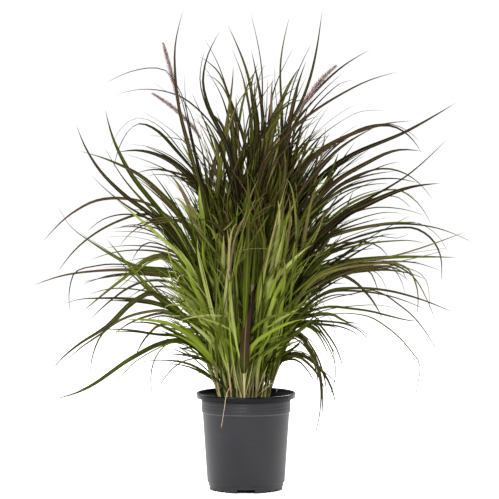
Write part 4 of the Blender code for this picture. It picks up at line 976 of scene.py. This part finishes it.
def make_soil(material):
    """The mix with a rough top, and grains of bark and grit lying on it."""
    rng = random.Random(SEED)
    low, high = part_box("soil")
    radius = 0.0995
    build = bmesh.new()
    rings, sides = 26, 72
    centre = build.verts.new((0.0, 0.0, SOIL_TOP - 0.001))
    rows = []
    for i in range(1, rings + 1):
        row = []
        for k in range(sides):
            angle = 2 * math.pi * k / sides
            r = radius * i / rings
            x, y = r * math.cos(angle), r * math.sin(angle)
            rough = noise.fractal(Vector((x, y, 0.3)) * 60.0, 0.9, 2.1, 4)
            bump = 0.0022 * rough * (1.0 - smooth_step((i / rings - 0.9) / 0.1))
            row.append(build.verts.new((x, y, SOIL_TOP - 0.0014 + bump)))
        rows.append(row)
    under = [build.verts.new((v.co.x * 0.99, v.co.y * 0.99, COLLAR_BOTTOM + 0.004))
             for v in rows[-1]]
    rows.append(under)
    for k in range(sides):
        build.faces.new((centre, rows[0][k], rows[0][(k + 1) % sides]))
        for i in range(len(rows) - 1):
            build.faces.new((rows[i][k], rows[i + 1][k], rows[i + 1][(k + 1) % sides],
                             rows[i][(k + 1) % sides]))
    build.faces.new(under[::-1])
    for _ in range(520):
        r = radius * 0.97 * math.sqrt(rng.random())
        angle = rng.uniform(0, 2 * math.pi)
        size = rng.uniform(0.0006, 0.0026)
        made = bmesh.ops.create_icosphere(build, subdivisions=1, radius=size)["verts"]
        stretch = Vector((rng.uniform(0.7, 1.9), rng.uniform(0.6, 1.1), rng.uniform(0.4, 0.9)))
        turn = rng.uniform(0, math.pi)
        for vertex in made:
            x, y, z = (vertex.co * rng.uniform(0.85, 1.15)) * stretch
            vertex.co = Vector((x * math.cos(turn) - y * math.sin(turn) + r * math.cos(angle),
                                x * math.sin(turn) + y * math.cos(turn) + r * math.sin(angle),
                                z + SOIL_TOP - 0.0008))
    mesh = bpy.data.meshes.new("potting_mix")
    bmesh.ops.recalc_face_normals(build, faces=build.faces)
    build.to_mesh(mesh)
    build.free()
    mesh.materials.append(material)
    soil = bpy.data.objects.new("potting_mix", mesh)
    bpy.context.scene.collection.objects.link(soil)
    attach(soil, "root")
    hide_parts("soil")


def centre_line(node):
    """Middle line of a packed stalk or spike: the middles of its rings, from foot to tip."""
    build = bmesh.new()
    build.from_mesh(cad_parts[node].data)
    bmesh.ops.remove_doubles(build, verts=build.verts, dist=0.000001)
    sides = 5 if "stalk" in node else 7
    start = min(build.verts, key=lambda v: v.co.z)
    order = sorted(build.verts, key=lambda v: (v.co - start.co).length)
    layer = set(order[:sides])
    done = set()
    middles = []
    while layer:
        middles.append(sum((np.array(v.co) for v in layer), np.zeros(3)) / len(layer))
        done |= layer
        layer = {edge.other_vert(v) for v in layer for edge in v.link_edges} - done
    build.free()
    return np.array(middles)


def make_spikes(bristle_material, grass):
    for number in (1, 2, 3):
        rng = random.Random(SEED * 900 + number)
        stalk_line = centre_line(f"flower_stalk_{number}")
        head_line = centre_line(f"flower_spike_{number}")
        stalk, _ = evenly(spline(stalk_line, unit(stalk_line[1] - stalk_line[0])), 40)
        head, length = evenly(spline(head_line, unit(head_line[1] - head_line[0])), 60)
        skin = Skin(1)
        rows = []
        for i, centre in enumerate(stalk):
            ahead = unit(stalk[min(i + 1, 39)] - stalk[max(i - 1, 0)])
            right = unit(np.cross(ahead, (0.0, 1.0, 0.0)))
            front = np.cross(ahead, right)
            radius = 0.0013 - 0.0006 * i / 39
            rows.append(skin.add_row([centre + radius * (math.cos(a) * right + math.sin(a) * front)
                                      for a in np.linspace(0, 2 * math.pi, 9)[:8]],
                                     along=0.3, across=0.5, purple=0.35 + 0.5 * i / 39, shade=0.7,
                                     pale=0.2))
        add_tube_faces(skin, rows, 8)
        piece = skin.to_object(f"stalk_{number}", grass)
        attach(piece, "root")
        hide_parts(f"flower_stalk_{number}")
        make_bristles(number, head, length, bristle_material, rng)


def add_tube_faces(skin, rows, sides):
    for i in range(len(rows) - 1):
        low, high = 0.01 + 0.98 * i / (len(rows) - 1), 0.01 + 0.98 * (i + 1) / (len(rows) - 1)
        for k in range(sides):
            a, b = rows[i] + k, rows[i] + (k + 1) % sides
            c, d = rows[i + 1] + (k + 1) % sides, rows[i + 1] + k
            left, right = k / sides, (k + 1) / sides
            skin.add_face((a, b, c, d), ((left, low), (right, low), (right, high), (left, high)))
    skin.add_face([rows[0] + k for k in range(sides - 1, -1, -1)],
                  [(0.99, 0.001 + 0.001 * k) for k in range(sides)])
    skin.add_face([rows[-1] + k for k in range(sides)],
                  [(0.995, 0.001 + 0.001 * k) for k in range(sides)])


def make_bristles(number, head, length, material, rng):
    """The flower head: its core and the florets and bristles that stand off it."""
    skin = Skin(1)
    count = len(head)
    rows = []
    frames = []
    for i, centre in enumerate(head):
        ahead = unit(head[min(i + 1, count - 1)] - head[max(i - 1, 0)])
        right = unit(np.cross(ahead, (0.0, 1.0, 0.0)))
        front = np.cross(ahead, right)
        frames.append((ahead, right, front))
        share = i / (count - 1)
        radius = 0.0016 * (1.0 - 0.6 * share)
        rows.append(skin.add_row([centre + radius * (math.cos(a) * right + math.sin(a) * front)
                                  for a in np.linspace(0, 2 * math.pi, 7)[:6]],
                                 along=0.0, across=0.0, purple=0.5, shade=0.1, pale=0.0))
    add_tube_faces(skin, rows, 6)
    reach = {1: 0.0098, 2: 0.0100, 3: 0.0125}[number]
    for _ in range(1500):
        share = rng.random() ** 0.9
        i = min(int(share * (count - 1)), count - 2)
        ahead, right, front = frames[i]
        base = head[i] + (head[i + 1] - head[i]) * (share * (count - 1) - i)
        angle = rng.uniform(0, 2 * math.pi)
        outward = math.cos(angle) * right + math.sin(angle) * front
        swell = 0.35 + 0.65 * math.sin(math.pi * min(share * 0.9 + 0.12, 1.0)) ** 0.7
        long = reach * swell * rng.uniform(0.8, 1.5)
        tilt = rng.uniform(0.45, 0.95)
        direction = unit(outward * math.sin(tilt) + ahead * math.cos(tilt))
        side = unit(np.cross(direction, outward))
        thick = rng.uniform(0.00010, 0.00022)
        floret = rng.random() < 0.25
        if floret:
            thick *= 4.0
            long *= 0.55
        shade = rng.uniform(0.0, 1.0)
        root = base + outward * 0.0010
        middle = root + direction * (0.5 * long)
        tip = root + unit(direction + ahead * 0.35) * long
        normal = np.cross(direction, side)
        first = skin.add_row([root + side * thick, root - side * thick, root + normal * thick],
                             along=0.0, across=0.0, purple=0.5, shade=shade, pale=0.0)
        second = skin.add_row([middle + side * thick, middle - side * thick,
                               middle + normal * thick], along=0.5, across=0.0, purple=0.5,
                              shade=shade, pale=0.0)
        last = skin.add_row([tip], along=1.0, across=0.0, purple=0.5, shade=shade, pale=0.0)
        corner = (rng.random(), rng.random() * 0.98)
        for k in range(3):
            m = (k + 1) % 3
            skin.add_face((first + k, first + m, second + m, second + k),
                          (corner, (corner[0], corner[1] + 0.004), (corner[0] + 0.003, corner[1]),
                           (corner[0] + 0.003, corner[1] + 0.004)))
            skin.add_face((second + k, second + m, last),
                          (corner, (corner[0], corner[1] + 0.004), (corner[0] + 0.003, corner[1])))
        skin.add_face((first + 2, first + 1, first),
                      (corner, (corner[0], corner[1] + 0.004), (corner[0] + 0.003, corner[1])))
    piece = skin.to_object(f"spike_{number}", material, 30.0)
    piece.data.uv_layers.remove(piece.data.uv_layers["OFBake"])
    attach(piece, "root")
    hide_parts(f"flower_spike_{number}")


def make_stage():
    floor_mesh = bpy.data.meshes.new("floor")
    build = bmesh.new()
    bmesh.ops.create_grid(build, x_segments=1, y_segments=1, size=30.0)
    build.to_mesh(floor_mesh)
    build.free()
    floor = bpy.data.objects.new("floor", floor_mesh)
    bpy.context.scene.collection.objects.link(floor)
    n = Nodes("floor")
    shader = n.add("ShaderNodeBsdfPrincipled")
    shader.inputs["Base Color"].default_value = (0.90, 0.90, 0.90, 1.0)
    shader.inputs["Roughness"].default_value = 0.9
    shader.inputs["Specular IOR Level"].default_value = 0.0
    shader.inputs["Emission Color"].default_value = (1.0, 1.0, 1.0, 1.0)
    shader.inputs["Emission Strength"].default_value = FLOOR_GLOW
    n.link(shader.outputs[0], n.output.inputs["Surface"])
    floor_mesh.materials.append(n.material)


def area_light(name, place, aim, size, power):
    data = bpy.data.lights.new(name, "AREA")
    data.shape = "DISK"
    data.size = size
    data.energy = power
    light = bpy.data.objects.new(name, data)
    bpy.context.scene.collection.objects.link(light)
    light.visible_camera = False
    light.location = place
    light.rotation_euler = (Vector(aim) - Vector(place)).to_track_quat("-Z", "Y").to_euler()


def make_lights():
    world = bpy.data.worlds.new("studio")
    bpy.context.scene.world = world
    world.use_nodes = True
    tree = world.node_tree
    background = tree.nodes["Background"]
    background.inputs["Color"].default_value = (1.0, 1.0, 1.0, 1.0)
    ray = tree.nodes.new("ShaderNodeLightPath")
    gloss = tree.nodes.new("ShaderNodeMapRange")
    gloss.inputs["To Min"].default_value = ROOM_LIGHT
    gloss.inputs["To Max"].default_value = GLOSS_LIGHT
    tree.links.new(ray.outputs["Is Glossy Ray"], gloss.inputs["Value"])
    level = tree.nodes.new("ShaderNodeMapRange")
    level.inputs["To Max"].default_value = 1.02
    tree.links.new(gloss.outputs["Result"], level.inputs["To Min"])
    tree.links.new(ray.outputs["Is Camera Ray"], level.inputs["Value"])
    tree.links.new(level.outputs["Result"], background.inputs["Strength"])
    area_light("key", (-2.4, -3.0, 3.0), (0.0, 0.0, 0.5), 1.2, KEY_POWER)
    area_light("front", (-0.8, -4.8, 1.2), (0.0, 0.0, 0.4), 1.6, FRONT_POWER)
    area_light("fill", (3.0, -2.2, 1.6), (0.0, 0.0, 0.5), 1.6, FILL_POWER)
    area_light("back", (1.6, 3.4, 3.0), (0.0, 0.0, 0.5), 1.6, BACK_POWER)
    area_light("back_left", (-3.2, 2.4, 1.8), (0.0, 0.0, 0.5), 1.6, BACK_LEFT_POWER)


def make_camera():
    data = bpy.data.cameras.new("camera")
    data.lens = CAMERA_LENS
    camera = bpy.data.objects.new("camera", data)
    bpy.context.scene.collection.objects.link(camera)
    camera.location = CAMERA_PLACE
    aim = Vector(CAMERA_AIM) - Vector(CAMERA_PLACE)
    camera.rotation_euler = aim.to_track_quat("-Z", "Y").to_euler()
    bpy.context.scene.camera = camera


def main():
    grass = grass_material()
    make_camera()
    make_shoots(grass)
    # The second plastic is a copy with lower specular and roughness, for the painted shade inside
    # the pot and on its lip
    make_pot(plastic_material("pot_plastic", 0.36, 0.36),
             plastic_material("pot_plastic_painted_shade", 0.14, 0.14))
    make_soil(soil_material())
    make_spikes(spike_material(), grass)
    make_stage()
    make_lights()
    bpy.context.scene.view_settings.view_transform = "Standard"


main()
